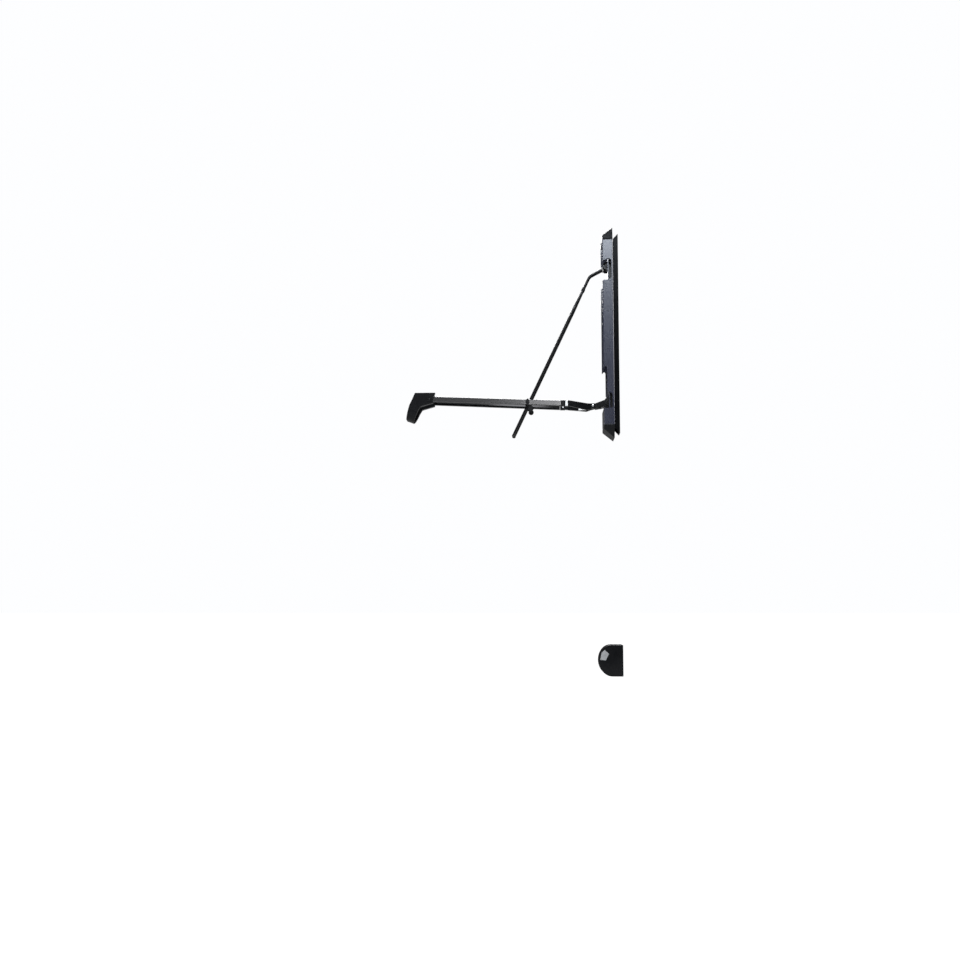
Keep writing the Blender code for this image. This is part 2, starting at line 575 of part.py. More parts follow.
def arm_pin(name, pivot, ring_finish):
    """A headed pin across the spine's cheeks, with a plain ring at each end."""
    reach = spine_half + GAP
    head = reach + PIN_RING + GAP
    profile = [(0.0, -head - 0.0008), (PIN_RADIUS * 0.85, -head - 0.0008), (PIN_RADIUS, -head),
               (PIN_RADIUS, head), (PIN_HEAD_RADIUS, head), (PIN_HEAD_RADIUS, head + 0.0007),
               (PIN_HEAD_RADIUS - 0.0007, head + 0.0013), (PIN_RADIUS * 0.8, head + 0.0013),
               (PIN_RADIUS * 0.8, head + 0.0003), (0.0, head + 0.0003)]
    pin = turned(name + "_pin", profile, pivot, (1, 0, 0), 24, BLACK_STEEL)
    smooth(pin)
    carry(swivel_axis, pin)
    profile = [(PIN_RADIUS + RUNNING, 0.0), (PIN_RING_RADIUS, 0.0), (PIN_RING_RADIUS, PIN_RING),
               (PIN_RADIUS + RUNNING, PIN_RING)]
    for title, side in (("_left_ring", -1), ("_right_ring", 1)):
        centre = (side * reach, pivot.y, pivot.z)
        ring = turned(name + title, profile, centre, (side, 0, 0), 24, ring_finish)
        smooth(ring)
        carry(swivel_axis, ring)


arm_pin("upper_arm", UPPER_PIVOT, BRIGHT_STEEL)
arm_pin("lower_arm", LOWER_PIVOT, BLACK_STEEL)
carry(swivel_axis, shell, upper_cap, lower_cap, spine)

# Lower arm: yoke, links, sockets, square bars, guides and cradle

bar_run = BAR_END - BAR_START


def bar_centre(out, side):
    """Centre of a bar at a distance out from the wall."""
    share = (out - BAR_START) / bar_run
    spread = BAR_SPREAD_ROOT + (BAR_SPREAD_TIP - BAR_SPREAD_ROOT) * share
    drop = BAR_ROOT_DROP + (BAR_TIP_DROP - BAR_ROOT_DROP) * share
    return Vector((side * spread / 2, -out, -PIVOT_RISE - drop))


def along_bar(piece, side):
    """Turn a piece that was made along -Y into line with a bar, and put it at the bar's root."""
    start = bar_centre(BAR_START, side)
    direction = bar_centre(BAR_END, side) - start
    yaw = math.atan2(direction.x, -direction.y)
    pitch = -math.atan2(direction.z, math.hypot(direction.x, direction.y))
    piece.location = start
    piece.rotation_euler = (pitch, 0.0, yaw)
    bpy.context.view_layer.update()


BAR_LENGTH = (bar_centre(BAR_END, 1) - bar_centre(BAR_START, 1)).length
pivot_yz = (LOWER_PIVOT.y, LOWER_PIVOT.z)
lap = Vector((0.0, -LAP_OUT, -PIVOT_RISE - LAP_DROP))
yoke_side = ([(LOWER_PIVOT.y - 0.0110, LOWER_PIVOT.z + 0.0052)]
             + arc((lap.y, lap.z), LAP_RADIUS, 105.0, 250.0, 10)
             + [(LOWER_PIVOT.y - 0.0125, LOWER_PIVOT.z - 0.0150), (LOWER_PIVOT.y - 0.0125, SILL + GAP),
                (LOWER_PIVOT.y - 0.0020, SILL + GAP)] + arc(pivot_yz, BARREL_RADIUS, -70.0, 145.0, 14))
yoke = prism("lower_arm_yoke", yoke_side, "X", -BARREL_LENGTH / 2, BARREL_LENGTH / 2, BLACK_PLASTIC)
soften(yoke, 0.0008, 1, 50.0)
for side in (1, -1):
    ends = sorted((side * TONGUE_HALF, side * FORK_INNER))
    boolean(yoke, box("link slot", (ends[0], -0.2, lap.z - 0.03),
                      (ends[1], lap.y + FORK_DEPTH, lap.z + 0.03)))
link_screw = Vector((0.0, -LINK_SCREW_OUT, -PIVOT_RISE - LINK_SCREW_DROP))
tongue_side = rounded_rectangle((link_screw.y - 0.0095, link_screw.z - 0.0085),
                                (lap.y + 0.014, link_screw.z + 0.0058), 0.003)
boolean(yoke, prism("tongue", tongue_side, "X", -TONGUE_HALF, TONGUE_HALF), "UNION")
boolean(yoke, rod("pin bore", (-0.1, *pivot_yz), (0.1, *pivot_yz), PIN_RADIUS + RUNNING))
boolean(yoke, rod("screw bore", (-0.1, link_screw.y, link_screw.z), (0.1, link_screw.y, link_screw.z),
                  0.0020 + GAP, 16))
smooth(yoke)
carry(lower_axis, yoke)


def sleeve(title, centre, out_from, out_to, grow, material):
    """A square ring round a link's tongue."""
    half_w = BAR_WIDTH / 2 + grow
    half_h = BAR_HEIGHT / 2 + grow
    outline = rounded_rectangle((centre.x - half_w, centre.z - half_h), (centre.x + half_w, centre.z + half_h),
                                0.0015, 2)
    made = prism(title, outline, "Y", -out_to, -out_from, material)
    reach = SPIGOT / 2 + GAP
    boolean(made, box("tongue hole", (centre.x - reach, -out_to - 0.001, centre.z - reach),
                      (centre.x + reach, -out_from + 0.001, centre.z + reach)))
    return made


for name, side in (("left", -1), ("right", 1)):
    root = bar_centre(BAR_START, side)
    ring_out = BAR_START - SOCKET_LENGTH
    link_out = ring_out - RING_LENGTH
    half_link = LINK_HEIGHT / 2
    half_bar = BAR_WIDTH / 2 + 0.0002
    link_run = link_out - LAP_OUT
    link_end = GAP - link_out

    def on_link(share, lift):
        """A point on the link's side, by shares of the way from lap to ring and of the link's height."""
        return (-LAP_OUT - share * link_run, lap.z + lift * LINK_HEIGHT)

    link_side = ([(link_end, root.z - half_link), (link_end, root.z + half_link), on_link(0.315, 0.412)]
                 + arc((lap.y, lap.z + LINK_EYE * 0.15), LINK_EYE, 100.0, -60.0, 10)
                 + [on_link(0.180, -0.545), on_link(0.343, -0.800), on_link(0.607, -0.558)])
    link = prism(name + "_link", link_side, "X", -0.06, 0.06, BLACK_PLASTIC)
    near_in = TONGUE_HALF + GAP
    near_out = FORK_INNER - GAP
    far_in = root.x * side - half_bar
    far_out = root.x * side + half_bar
    eye_end = lap.y + FORK_DEPTH - GAP
    inner_line = [(near_in, eye_end), (near_in, on_link(0.281, 0)[0]), (far_in, on_link(0.955, 0)[0]),
                  (far_in, link_end)]
    outer_line = [(far_out, link_end), (far_out, on_link(0.944, 0)[0]), (near_out, on_link(0.202, 0)[0]),
                  (near_out, eye_end)]
    plan = [(side * x, y) for x, y in inner_line + outer_line]
    boolean(link, prism("plan shape", plan, "Z", -0.4, 0.0), "INTERSECT")
    half_tongue = SPIGOT / 2
    boolean(link, box("tongue", (root.x - half_tongue, 0.004 - BAR_START, root.z - half_tongue),
                      (root.x + half_tongue, 0.002 - link_out, root.z + half_tongue)), "UNION")
    ends = sorted((root.x - side * half_bar, root.x - side * 0.001))
    boolean(link, box("inner shoulder", (ends[0], GAP - ring_out, root.z - half_link),
                      (ends[1], 0.002 - link_out, root.z + half_link)), "UNION")
    boolean(link, rod("screw bore", (-0.1, link_screw.y, link_screw.z), (0.1, link_screw.y, link_screw.z),
                      0.0020 + GAP, 16))
    smooth(link)

    pad_side = [on_link(0.348, 0.303), on_link(0.348, -0.594), on_link(0.620, -0.509), on_link(0.573, 0.394)]
    pad = prism(name + "_link_pad", pad_side, "X", -0.06, 0.06, WHITE_NYLON)
    slope = (far_in - near_in) / (0.955 - 0.281)
    plan = [(side * (near_in - depth + slope * (share - 0.281)), on_link(share, 0)[0])
            for depth, share in ((GAP, 0.247), (GAP, 0.697), (GAP + LINK_PAD, 0.697), (GAP + LINK_PAD, 0.247))]
    boolean(pad, prism("plan shape", plan, "Z", -0.4, 0.0), "INTERSECT")

    ring = sleeve(name + "_spacer_ring", root, link_out, ring_out - GAP, 0.0004, WHITE_NYLON)
    ends = sorted((root.x - side * 0.02, root.x - side * (0.001 - GAP)))
    boolean(ring, box("inner half", (ends[0], -ring_out - 0.01, root.z - 0.02),
                      (ends[1], 0.01 - link_out, root.z + 0.02)))
    socket = sleeve(name + "_bar_socket", root, ring_out, BAR_START - GAP * 2, 0.0008, BLACK_PLASTIC)
    socket_face = root.x - side * (BAR_WIDTH / 2 + 0.0008)
    stud_y = -ring_out - SOCKET_LENGTH * 0.367
    stud_z = root.z - 0.001
    boolean(socket, rod("screw bore", (socket_face - side * 0.01, stud_y, stud_z),
                        (socket_face + side * 0.0017, stud_y, stud_z), 0.0013, 12))
    stud = screw(name + "_socket_screw", (socket_face - side * GAP, stud_y, stud_z), (side, 0, 0), 0.0016,
                 BRIGHT_STEEL, 0.0024, 0.0011, 0.0014)

    section = rounded_rectangle((-BAR_WIDTH / 2, -BAR_HEIGHT / 2), (BAR_WIDTH / 2, BAR_HEIGHT / 2), 0.0014, 2)
    bar = prism(name + "_bar", section, "Y", -BAR_LENGTH, -GAP, GREY_BAR)
    along_bar(bar, side)
    place = bar_centre(BAR_END - CRADLE_SCREW_BACK, side)
    bore = ((place.x, place.y, place.z - 0.003), (place.x + side * 0.05, place.y, place.z - 0.003),
            0.002 + GAP, 12)
    boolean(bar, rod("screw bore", *bore))

    seat = (side * FORK_INNER, link_screw.y, link_screw.z)
    fixing = screw(name + "_link_screw", seat, (-side, 0, 0), 0.0105, BRIGHT_STEEL, 0.0040, 0.0020, 0.0020)
    carry(lower_axis, link, pad, ring, socket, stud, bar, fixing)

    # Side guide: a clip round the bar whose smooth inner face keeps the loop's leg between the bars
    reach = GUIDE_OUT - BAR_START
    wide = BAR_WIDTH / 2 + GAP
    tall = BAR_HEIGHT / 2 + GAP
    guide_outline = [(-wide - GUIDE_PAD, -tall - GUIDE_WALL), (wide + GUIDE_WALL * 0.5, -tall - GUIDE_WALL),
                     (wide + GUIDE_WALL * 0.5, tall + GUIDE_WALL), (-wide - GUIDE_PAD, tall + GUIDE_WALL)]
    guide_outline = [(side * x, z) for x, z in guide_outline]
    guide = prism(name + "_side_guide", guide_outline, "Y", -reach - GUIDE_LENGTH / 2, -reach + GUIDE_LENGTH / 2,
                  BLACK_PLASTIC)
    for end in (1, -1):
        beyond = end * (GUIDE_LENGTH / 2 + 0.001) - reach
        shoulder = end * 0.0060 - reach
        waist = end * 0.0022 - reach
        corner = [(beyond, -0.0200), (beyond, 0.0200), (waist, 0.0200), (waist, tall + 0.001), (shoulder, 0.0020),
                  (shoulder, -0.0020), (waist, -tall - 0.001), (waist, -0.0200)]
        ends = sorted((side * (0.0 - wide * 0.6), side * (wide + GUIDE_WALL * 2)))
        boolean(guide, prism("outer trim", corner, "X", ends[0], ends[1]))
    diamond = [(-reach - 0.0052, 0.0), (-reach, -0.0080), (-reach + 0.0052, 0.0), (-reach, 0.0080)]
    ends = sorted((side * (wide + 0.0002), side * (wide + GUIDE_WALL)))
    boolean(guide, prism("diamond nose", diamond, "X", ends[0], ends[1]), "UNION")
    buffer_place = (-reach + 0.011, -tall - 0.0105)
    lug = [(-reach - 0.006, -tall), (-reach + 0.0065, -tall)] + arc(buffer_place, 0.005, 45.0, -170.0, 9)
    ends = sorted((-side * wide, -side * (wide - 0.004)))
    boolean(guide, prism("buffer lug", lug, "X", ends[0], ends[1]), "UNION")
    boolean(guide, box("bar hole", (-wide, -reach - 0.02, -tall), (wide, -reach + 0.02, tall)))
    boolean(guide, rod("buffer bore", (-0.02, *buffer_place), (0.02, *buffer_place), 0.0026, 16))
    along_bar(guide, side)
    profile = [(0.0, 0.0003), (0.0023, 0.0003), (0.0023, 0.0043), (BUFFER_RADIUS - 0.001, 0.0043),
               (BUFFER_RADIUS, 0.0053), (BUFFER_RADIUS, BUFFER_WIDTH - 0.001), (BUFFER_RADIUS - 0.001, BUFFER_WIDTH),
               (0.0, BUFFER_WIDTH)]
    stud = turned(name + "_buffer", profile, (-side * wide, *buffer_place), (side, 0, 0), 20, RUBBER)
    smooth(stud)
    along_bar(stud, side)
    carry(lower_axis, guide, stud)

# End cradle: one moulding that grips both bar ends and carries the tyre on a bridge between its two legs

CRADLE_BACK = BAR_END - CRADLE_GRIP
tip_z = bar_centre(BAR_END, 1).z
throat_z = -PIVOT_RISE - THROAT_DROP
block_top = tip_z + BAR_HEIGHT / 2 + 0.0095


def by_throat(out, lift):
    """A point of the cradle's outline, out and up from the channel's bottom by shares of its height."""
    return (-THROAT_OUT - out * CRADLE_LEG, throat_z + lift * CRADLE_LEG)


def by_bar(out, lift):
    """A point of its outline that keeps to the bars: back from their ends, and up from their middle."""
    return (-BAR_END + out * CRADLE_GRIP, tip_z + lift * BAR_HEIGHT)


cradle_side = [(-CRADLE_BACK, block_top), (by_throat(-0.200, 0.0)[0], block_top), by_throat(-0.099, 0.719),
               by_throat(0.002, 0.508), by_throat(0.137, 0.027), by_throat(0.117, -0.020),
               by_throat(-0.125, -0.108), by_throat(-0.211, 0.088), by_throat(-0.310, 0.314),
               by_throat(-0.396, 0.451), by_bar(0.368, -1.231), by_bar(0.860, -0.844), by_bar(0.860, -0.031)]
tip_x = BAR_SPREAD_TIP / 2
back_x = bar_centre(CRADLE_BACK, 1).x
wall = BAR_WIDTH / 2 + CRADLE_WALL
cradle = prism("end_cradle", cradle_side, "X", -back_x - wall, back_x + wall, BLACK_PLASTIC)
inner_half = tip_x - BAR_WIDTH / 2 - 0.0018


def aimed(piece, place, tilt):
    """Tip a piece that was made along -Y so that it rises outward by the tilt, and put it at its place."""
    piece.location = place
    piece.rotation_euler = (-tilt, 0.0, 0.0)
    bpy.context.view_layer.update()
    return piece


throat = [(-inner_half, 0.150)] + arc((0.0, inner_half), inner_half, 180.0, 360.0, 20) + [(inner_half, 0.150)]
throat_place = (0.0, -THROAT_OUT, throat_z)
boolean(cradle, aimed(prism("tyre throat", throat, "Y", -0.2, 0.2), throat_place, THROAT_TILT))
outer_half = back_x + wall + 0.0005
underside = [(-outer_half, 0.150)] + arc((0.0, outer_half), outer_half, 180.0, 360.0, 24) + [(outer_half, 0.150)]
foot_out, foot_z = by_throat(0.117, -0.020)
heel_out, heel_z = by_throat(-0.125, -0.108)
foot_tilt = math.atan2(foot_z - heel_z, heel_out - foot_out)
rocker = aimed(prism("rounded underside", underside, "Y", -0.2, 0.2), (0.0, foot_out, foot_z), foot_tilt)
boolean(cradle, rocker, "INTERSECT")
soften(cradle, 0.0014, 2, 30.0)
for side in (1, -1):
    tunnel = box("bar tunnel", (-BAR_WIDTH / 2 - GAP, -BAR_LENGTH - 0.0015, -BAR_HEIGHT / 2 - GAP),
                 (BAR_WIDTH / 2 + GAP, 0.0, BAR_HEIGHT / 2 + GAP))
    along_bar(tunnel, side)
    boolean(cradle, tunnel)
    place = bar_centre(BAR_END - CRADLE_SCREW_BACK, side)
    boolean(cradle, rod("screw bore", (place.x, place.y, place.z - 0.003),
                        (place.x + side * 0.05, place.y, place.z - 0.003), 0.002 + GAP, 12))
    seat = (side * (back_x + wall + GAP), place.y, place.z - 0.003)
    title = ("left" if side < 0 else "right") + "_cradle_screw"
    fixing = screw(title, seat, (-side, 0, 0), 0.0085, BLACK_STEEL, 0.0042, 0.002, 0.0022)
    carry(lower_axis, fixing)
smooth(cradle)
pad_outside = inner_half - GAP
pad_section = (arc((0.0, inner_half), pad_outside, 234.0, 306.0, 10)
               + arc((0.0, inner_half), pad_outside - CRADLE_PAD, 306.0, 234.0, 10))
pad = aimed(prism("cradle_pad", pad_section, "Y", -0.0085, 0.0115, RUBBER), throat_place, THROAT_TILT)
smooth(pad, 30.0)
carry(lower_axis, cradle, pad)

# Upper arm: a bent steel loop that leans on the wheel, held in a moulded hub


def in_arm_plane(distance, angle, start, x=0.0):
    """A point at a distance from the start, along a line that points the angle below level and outward."""
    return Vector((x, start.y - distance * math.cos(angle), start.z - distance * math.sin(angle)))


leg_fall = math.pi / 2 - LEG_ANGLE
bend = in_arm_plane(STEM_LENGTH, STEM_ANGLE, UPPER_PIVOT)
socket_start = HUB_BOSS - 0.0065
near = STEM_SPREAD / 2
far = LOOP_SPREAD / 2
half_path = [in_arm_plane(socket_start, STEM_ANGLE, UPPER_PIVOT, near), in_arm_plane(0.0, 0.0, bend, near),
             in_arm_plane(SPLAY_START, leg_fall, bend, near),
             in_arm_plane(SPLAY_START + SPLAY_LENGTH, leg_fall, bend, far),
             in_arm_plane(LEG_LENGTH, leg_fall, bend, far)]
other_half = [Vector((-point.x, point.y, point.z)) for point in reversed(half_path)]
bends = [0.025, 0.030, 0.030, 0.011]
loop_path = filleted(half_path + other_half, bends + bends[::-1])
loop = swept_rod("rod_loop", loop_path, LOOP_RADIUS, 12, BLACK_STEEL)
smooth(loop)

hub = rod("upper_hub", (-BARREL_LENGTH / 2, UPPER_PIVOT.y, UPPER_PIVOT.z),
          (BARREL_LENGTH / 2, UPPER_PIVOT.y, UPPER_PIVOT.z), HUB_RADIUS, 32, BLACK_PLASTIC)
half_wide = near + LOOP_RADIUS + 0.0025
half_tall = LOOP_RADIUS + 0.0025
section = rounded_rectangle((-half_wide, -half_tall), (half_wide, half_tall), 0.003, 3)
boolean(hub, aimed(prism("hub boss", section, "Y", -HUB_BOSS, 0.0), UPPER_PIVOT, -STEM_ANGLE), "UNION")
boolean(hub, rod("pin bore", (-0.1, UPPER_PIVOT.y, UPPER_PIVOT.z), (0.1, UPPER_PIVOT.y, UPPER_PIVOT.z),
                 PIN_RADIUS + RUNNING))
ferrule = aimed(prism("white_ferrule", section, "Y", -HUB_BOSS - GAP - FERRULE, -HUB_BOSS - GAP, WHITE_NYLON),
                UPPER_PIVOT, -STEM_ANGLE)
clamp_end = SPLAY_START - 0.0045
half_wide = near + LOOP_RADIUS + CLAMP_WALL
half_tall = LOOP_RADIUS + CLAMP_WALL
section = rounded_rectangle((-half_wide, -half_tall), (half_wide, half_tall), 0.004, 3)
clamp = prism("rod_clamp", section, "Y", -clamp_end, CLAMP_LENGTH - clamp_end, BLACK_PLASTIC)
aimed(clamp, bend, -leg_fall)
soften(clamp, 0.0004, 1)
for side in (1, -1):
    shift = Vector((side * near, 0.0, 0.0))
    for piece in (hub, ferrule):
        boolean(piece, rod("rod socket", in_arm_plane(socket_start - GAP, STEM_ANGLE, UPPER_PIVOT) + shift,
                           in_arm_plane(0.05, STEM_ANGLE, UPPER_PIVOT) + shift, LOOP_RADIUS + GAP))
    boolean(clamp, rod("rod hole", in_arm_plane(0.0, leg_fall, bend) + shift,
                       in_arm_plane(0.1, leg_fall, bend) + shift, LOOP_RADIUS + GAP))
for piece in (hub, ferrule, clamp):
    smooth(piece)

tip = in_arm_plane(LEG_LENGTH, leg_fall, bend)
half_sleeve = far - 0.0125
outer = LOOP_RADIUS + GAP + SLEEVE_WALL
profile = [(LOOP_RADIUS + GAP, -half_sleeve), (outer - 0.001, -half_sleeve), (outer, 0.001 - half_sleeve),
           (outer, half_sleeve - 0.001), (outer - 0.001, half_sleeve), (LOOP_RADIUS + GAP, half_sleeve)]
crossbar_sleeve = turned("crossbar_sleeve", profile, tip, (1, 0, 0), 24, RUBBER)
smooth(crossbar_sleeve)
carry(upper_axis, hub, ferrule, clamp, loop, crossbar_sleeve)
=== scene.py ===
# %% [markdown]
# # A folding wall rack for a bicycle, dressed for its picture
# The solids of the rack come ready made from the imported part, and they set every size and place.
# This lesson gives them their finishes and rebuilds, with Blender's own operators, the pieces
# where the eye looks for finer shapes: screws, bent rod, rubber parts and the tyre rest.

# %% Load the frame
import math

import bmesh
import bpy
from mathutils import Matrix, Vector
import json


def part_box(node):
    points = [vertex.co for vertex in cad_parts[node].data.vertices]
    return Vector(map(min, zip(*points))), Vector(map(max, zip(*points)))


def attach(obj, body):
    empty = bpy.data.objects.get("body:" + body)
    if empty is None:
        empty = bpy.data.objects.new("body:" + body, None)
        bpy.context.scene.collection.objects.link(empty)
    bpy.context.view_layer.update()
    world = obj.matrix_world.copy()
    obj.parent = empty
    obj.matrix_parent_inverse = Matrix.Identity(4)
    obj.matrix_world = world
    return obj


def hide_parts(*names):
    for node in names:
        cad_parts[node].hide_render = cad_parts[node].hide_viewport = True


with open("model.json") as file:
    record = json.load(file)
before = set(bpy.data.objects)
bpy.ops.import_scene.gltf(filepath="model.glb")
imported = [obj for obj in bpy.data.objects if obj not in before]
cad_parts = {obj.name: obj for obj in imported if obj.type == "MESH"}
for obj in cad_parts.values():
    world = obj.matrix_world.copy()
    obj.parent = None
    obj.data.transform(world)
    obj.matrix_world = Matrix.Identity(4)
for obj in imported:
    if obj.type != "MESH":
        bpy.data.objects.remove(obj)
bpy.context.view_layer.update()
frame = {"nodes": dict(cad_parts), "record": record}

# %% [markdown]
# ## Camera
# The rack is seen from its own right side, from low down and from across a room, so a long, level
# view with a slight tilt up is right. A camera looks along its own -Z, so its turn is worked out
# from the direction that it looks in.

# %% Camera
CAMERA_PLACE = Vector((3.6179, -0.2396, -0.8369))
CAMERA_YAW = math.radians(2.910)
CAMERA_TILT = math.radians(6.175)
looking = Vector((-math.cos(CAMERA_TILT) * math.cos(CAMERA_YAW),
                  -math.cos(CAMERA_TILT) * math.sin(CAMERA_YAW),
                  math.sin(CAMERA_TILT)))
bpy.ops.object.camera_add(location=CAMERA_PLACE, rotation=looking.to_track_quat("-Z", "Y").to_euler())
camera = bpy.context.active_object
camera.name = "studio_camera"
camera.data.lens = 45.0
camera.data.sensor_width = 36.0
bpy.context.scene.camera = camera
print("camera looks along", tuple(round(part, 3) for part in looking))

# %% [markdown]
# ## Light and floor
# A dark, satin thing is drawn by what it mirrors. A broad soft light high behind the camera is
# mirrored in the top of the housing and fades out towards its foot. Two small cards beside the
# camera are mirrored in the bars, brightest at their roots. Lights over and behind the arms put a
# thin bright line on every rod, and three more serve the sides that the camera doesn't see.
# Black plastic would mirror a white room and turn grey. So the air and the floor are white where
# the camera sees them, and dim where the rack mirrors them.

# %% Light and floor
FLOOR_LEVEL = -1.44


def soft_light(name, place, target, size, power, tint=(1.0, 1.0, 1.0)):
    """A square area light at a place, turned to shine at a target."""
    along = Vector(target) - Vector(place)
    turn = along.to_track_quat("-Z", "Y").to_euler()
    bpy.ops.object.light_add(type="AREA", location=place, rotation=turn)
    lamp = bpy.context.active_object
    lamp.name = name
    lamp.data.shape = "SQUARE"
    lamp.data.size = size
    lamp.data.energy = power
    lamp.data.color = tint
    lamp.visible_camera = False


COOL = (0.85, 0.92, 1.0)
soft_light("high_softbox", (3.7, 0.25, 2.50), (0.0, -0.05, 0.15), 2.2, 208.0, COOL)
soft_light("low_card", (3.8, -0.80, 0.38), (0.0, -0.4, -0.22), 1.0, 1.2)
soft_light("bar_card", (3.6, -0.25, 0.38), (0.0, -0.30, -0.22), 0.3, 1.8)
soft_light("arm_softbox", (0.9, -2.4, 2.8), (0.0, -0.3, -0.2), 1.6, 55.0)
soft_light("back_softbox", (-2.6, -1.4, 2.4), (0.0, -0.3, -0.3), 1.6, 45.0)
soft_light("far_side_softbox", (-3.8, 0.1, 2.1), (0.0, -0.1, -0.1), 2.2, 190.0)
soft_light("wall_side_softbox", (0.4, 3.9, 1.6), (0.0, 0.0, -0.2), 2.4, 170.0)
soft_light("front_card", (0.3, -3.9, -0.3), (0.0, -0.2, -0.2), 1.8, 30.0)

world = bpy.data.worlds.new("studio_air")
world.use_nodes = True
air = world.node_tree.nodes
joins = world.node_tree.links
way_out = air.new("ShaderNodeTexCoord")
split = air.new("ShaderNodeSeparateXYZ")
depth = air.new("ShaderNodeMapRange")
for socket, value in (("From Min", -0.75), ("From Max", 0.35), ("To Min", 0.12), ("To Max", 0.03)):
    depth.inputs[socket].default_value = value
joins.new(way_out.outputs["Generated"], split.inputs[0])
joins.new(split.outputs["X"], depth.inputs["Value"])
seen = air.new("ShaderNodeLightPath")
shown = air.new("ShaderNodeMix")
shown.inputs["B"].default_value = 1.0
joins.new(seen.outputs["Is Camera Ray"], shown.inputs["Factor"])
joins.new(depth.outputs["Result"], shown.inputs["A"])
joins.new(shown.outputs["Result"], air["Background"].inputs["Strength"])
air["Background"].inputs["Color"].default_value = (0.985, 0.99, 1.0, 1.0)
bpy.context.scene.world = world
bpy.context.scene.view_settings.view_transform = "Standard"

bpy.ops.mesh.primitive_plane_add(size=400.0, location=(0.0, 0.0, FLOOR_LEVEL))
floor = bpy.context.active_object
floor.name = "studio_floor"

# %% [markdown]
# ## Writing finishes as sums
# A finish is a chain of small nodes. Written out one by one they hide the idea, so one small class
# wraps a socket and lets Python's own signs add the Math nodes: `1 - dust * 0.5` becomes two nodes.
# Every other kind of node comes from the one method `add`.

# %% The classes for finishes


class Value:
    """A number that varies over a surface."""

    def __init__(self, finish, socket):
        self.finish = finish
        self.socket = socket

    def work(self, operation, first, second=0.0):
        return self.finish.add("ShaderNodeMath", {"operation": operation}, {0: first, 1: second})

    def __add__(self, other):
        return self.work("ADD", self, other)

    def __radd__(self, other):
        return self.work("ADD", other, self)

    def __sub__(self, other):
        return self.work("SUBTRACT", self, other)

    def __rsub__(self, other):
        return self.work("SUBTRACT", other, self)

    def __mul__(self, other):
        return self.work("MULTIPLY", self, other)

    def __rmul__(self, other):
        return self.work("MULTIPLY", other, self)

    def __truediv__(self, other):
        return self.work("DIVIDE", self, other)

    def __pow__(self, other):
        return self.work("POWER", self, other)

    def __abs__(self):
        return self.work("ABSOLUTE", self)

    def above(self, low, high):
        """0 below low, 1 above high, and smooth between."""
        return self.finish.add("ShaderNodeMapRange", {"interpolation_type": "SMOOTHSTEP"},
                               {"Value": self, "From Min": low, "From Max": high})


class Finish:
    """A material: constants go straight on the shader, and what varies is linked by `vary`."""

    def __init__(self, name, roughness=0.5, metallic=0.0, specular=0.5, coat=0.0, coat_roughness=0.1):
        self.material = bpy.data.materials.new(name)
        self.material.use_nodes = True
        self.nodes = self.material.node_tree.nodes
        self.links = self.material.node_tree.links
        self.shader = self.nodes["Principled BSDF"]
        fixed = {"Roughness": roughness, "Metallic": metallic, "Specular IOR Level": specular,
                 "Coat Weight": coat, "Coat Roughness": coat_roughness}
        for socket, value in fixed.items():
            self.shader.inputs[socket].default_value = value

    def add(self, kind, settings=None, inputs=None, output=0):
        """Add a node, with its settings first and then the values or links of its sockets."""
        node = self.nodes.new(kind)
        for key, value in (settings or {}).items():
            setattr(node, key, value)
        for key, value in (inputs or {}).items():
            self.put(node.inputs[key], value)
        return Value(self, node.outputs[output])

    def put(self, socket, value):
        if isinstance(value, Value):
            self.links.new(value.socket, socket)
        else:
            socket.default_value = value

    def vary(self, socket, value):
        self.put(self.shader.inputs[socket], value)

    def place(self, stretch=(1.0, 1.0, 1.0)):
        """The point on the object in metres, stretched for grain that runs one way."""
        point = self.add("ShaderNodeTexCoord", output=3)
        return self.add("ShaderNodeMapping", inputs={"Vector": point, "Scale": stretch})

    def along(self, axis):
        """One coordinate of the point, in metres."""
        point = self.add("ShaderNodeTexCoord", output=3)
        return self.add("ShaderNodeSeparateXYZ", inputs={"Vector": point}, output="XYZ".index(axis))

    def facing(self, axis):
        """How far the surface faces along one axis, from -1 to 1."""
        normal = self.add("ShaderNodeTexCoord", output=1)
        return self.add("ShaderNodeSeparateXYZ", inputs={"Vector": normal}, output="XYZ".index(axis))

    def noise(self, scale, detail=3.0, roughness=0.5, stretch=(1.0, 1.0, 1.0)):
        """Soft random patches between 0 and 1, so many to the metre."""
        return self.add("ShaderNodeTexNoise", inputs={"Vector": self.place(stretch), "Scale": scale,
                                                      "Detail": detail, "Roughness": roughness})

    def cells(self, scale):
        """Distance to the nearest of many random points, for a grain of small pits."""
        return self.add("ShaderNodeTexVoronoi", inputs={"Vector": self.place(), "Scale": scale})

    def blend(self, share, first, second):
        """A colour between two colours."""
        return self.add("ShaderNodeMix", {"data_type": "RGBA"}, {0: share, 6: first, 7: second}, 2)

    def relief(self, height, depth, strength=1.0):
        """Raise the surface by a height between 0 and 1, times a depth in metres."""
        numbers = {"Height": height, "Distance": depth, "Strength": strength}
        self.vary("Normal", self.add("ShaderNodeBump", inputs=numbers))


def colour(red, green, blue):
    return (red, green, blue, 1.0)


print("classes ready")

# %% [markdown]
# ## Satin shell
# The housing is a long moulding in slate blue plastic with a satin gloss. Such a surface is never
# quite flat: it carries a faint orange peel, slow drifts in gloss where the mould was polished, and
# hair-fine rubs on the front corners, where wheels pass.

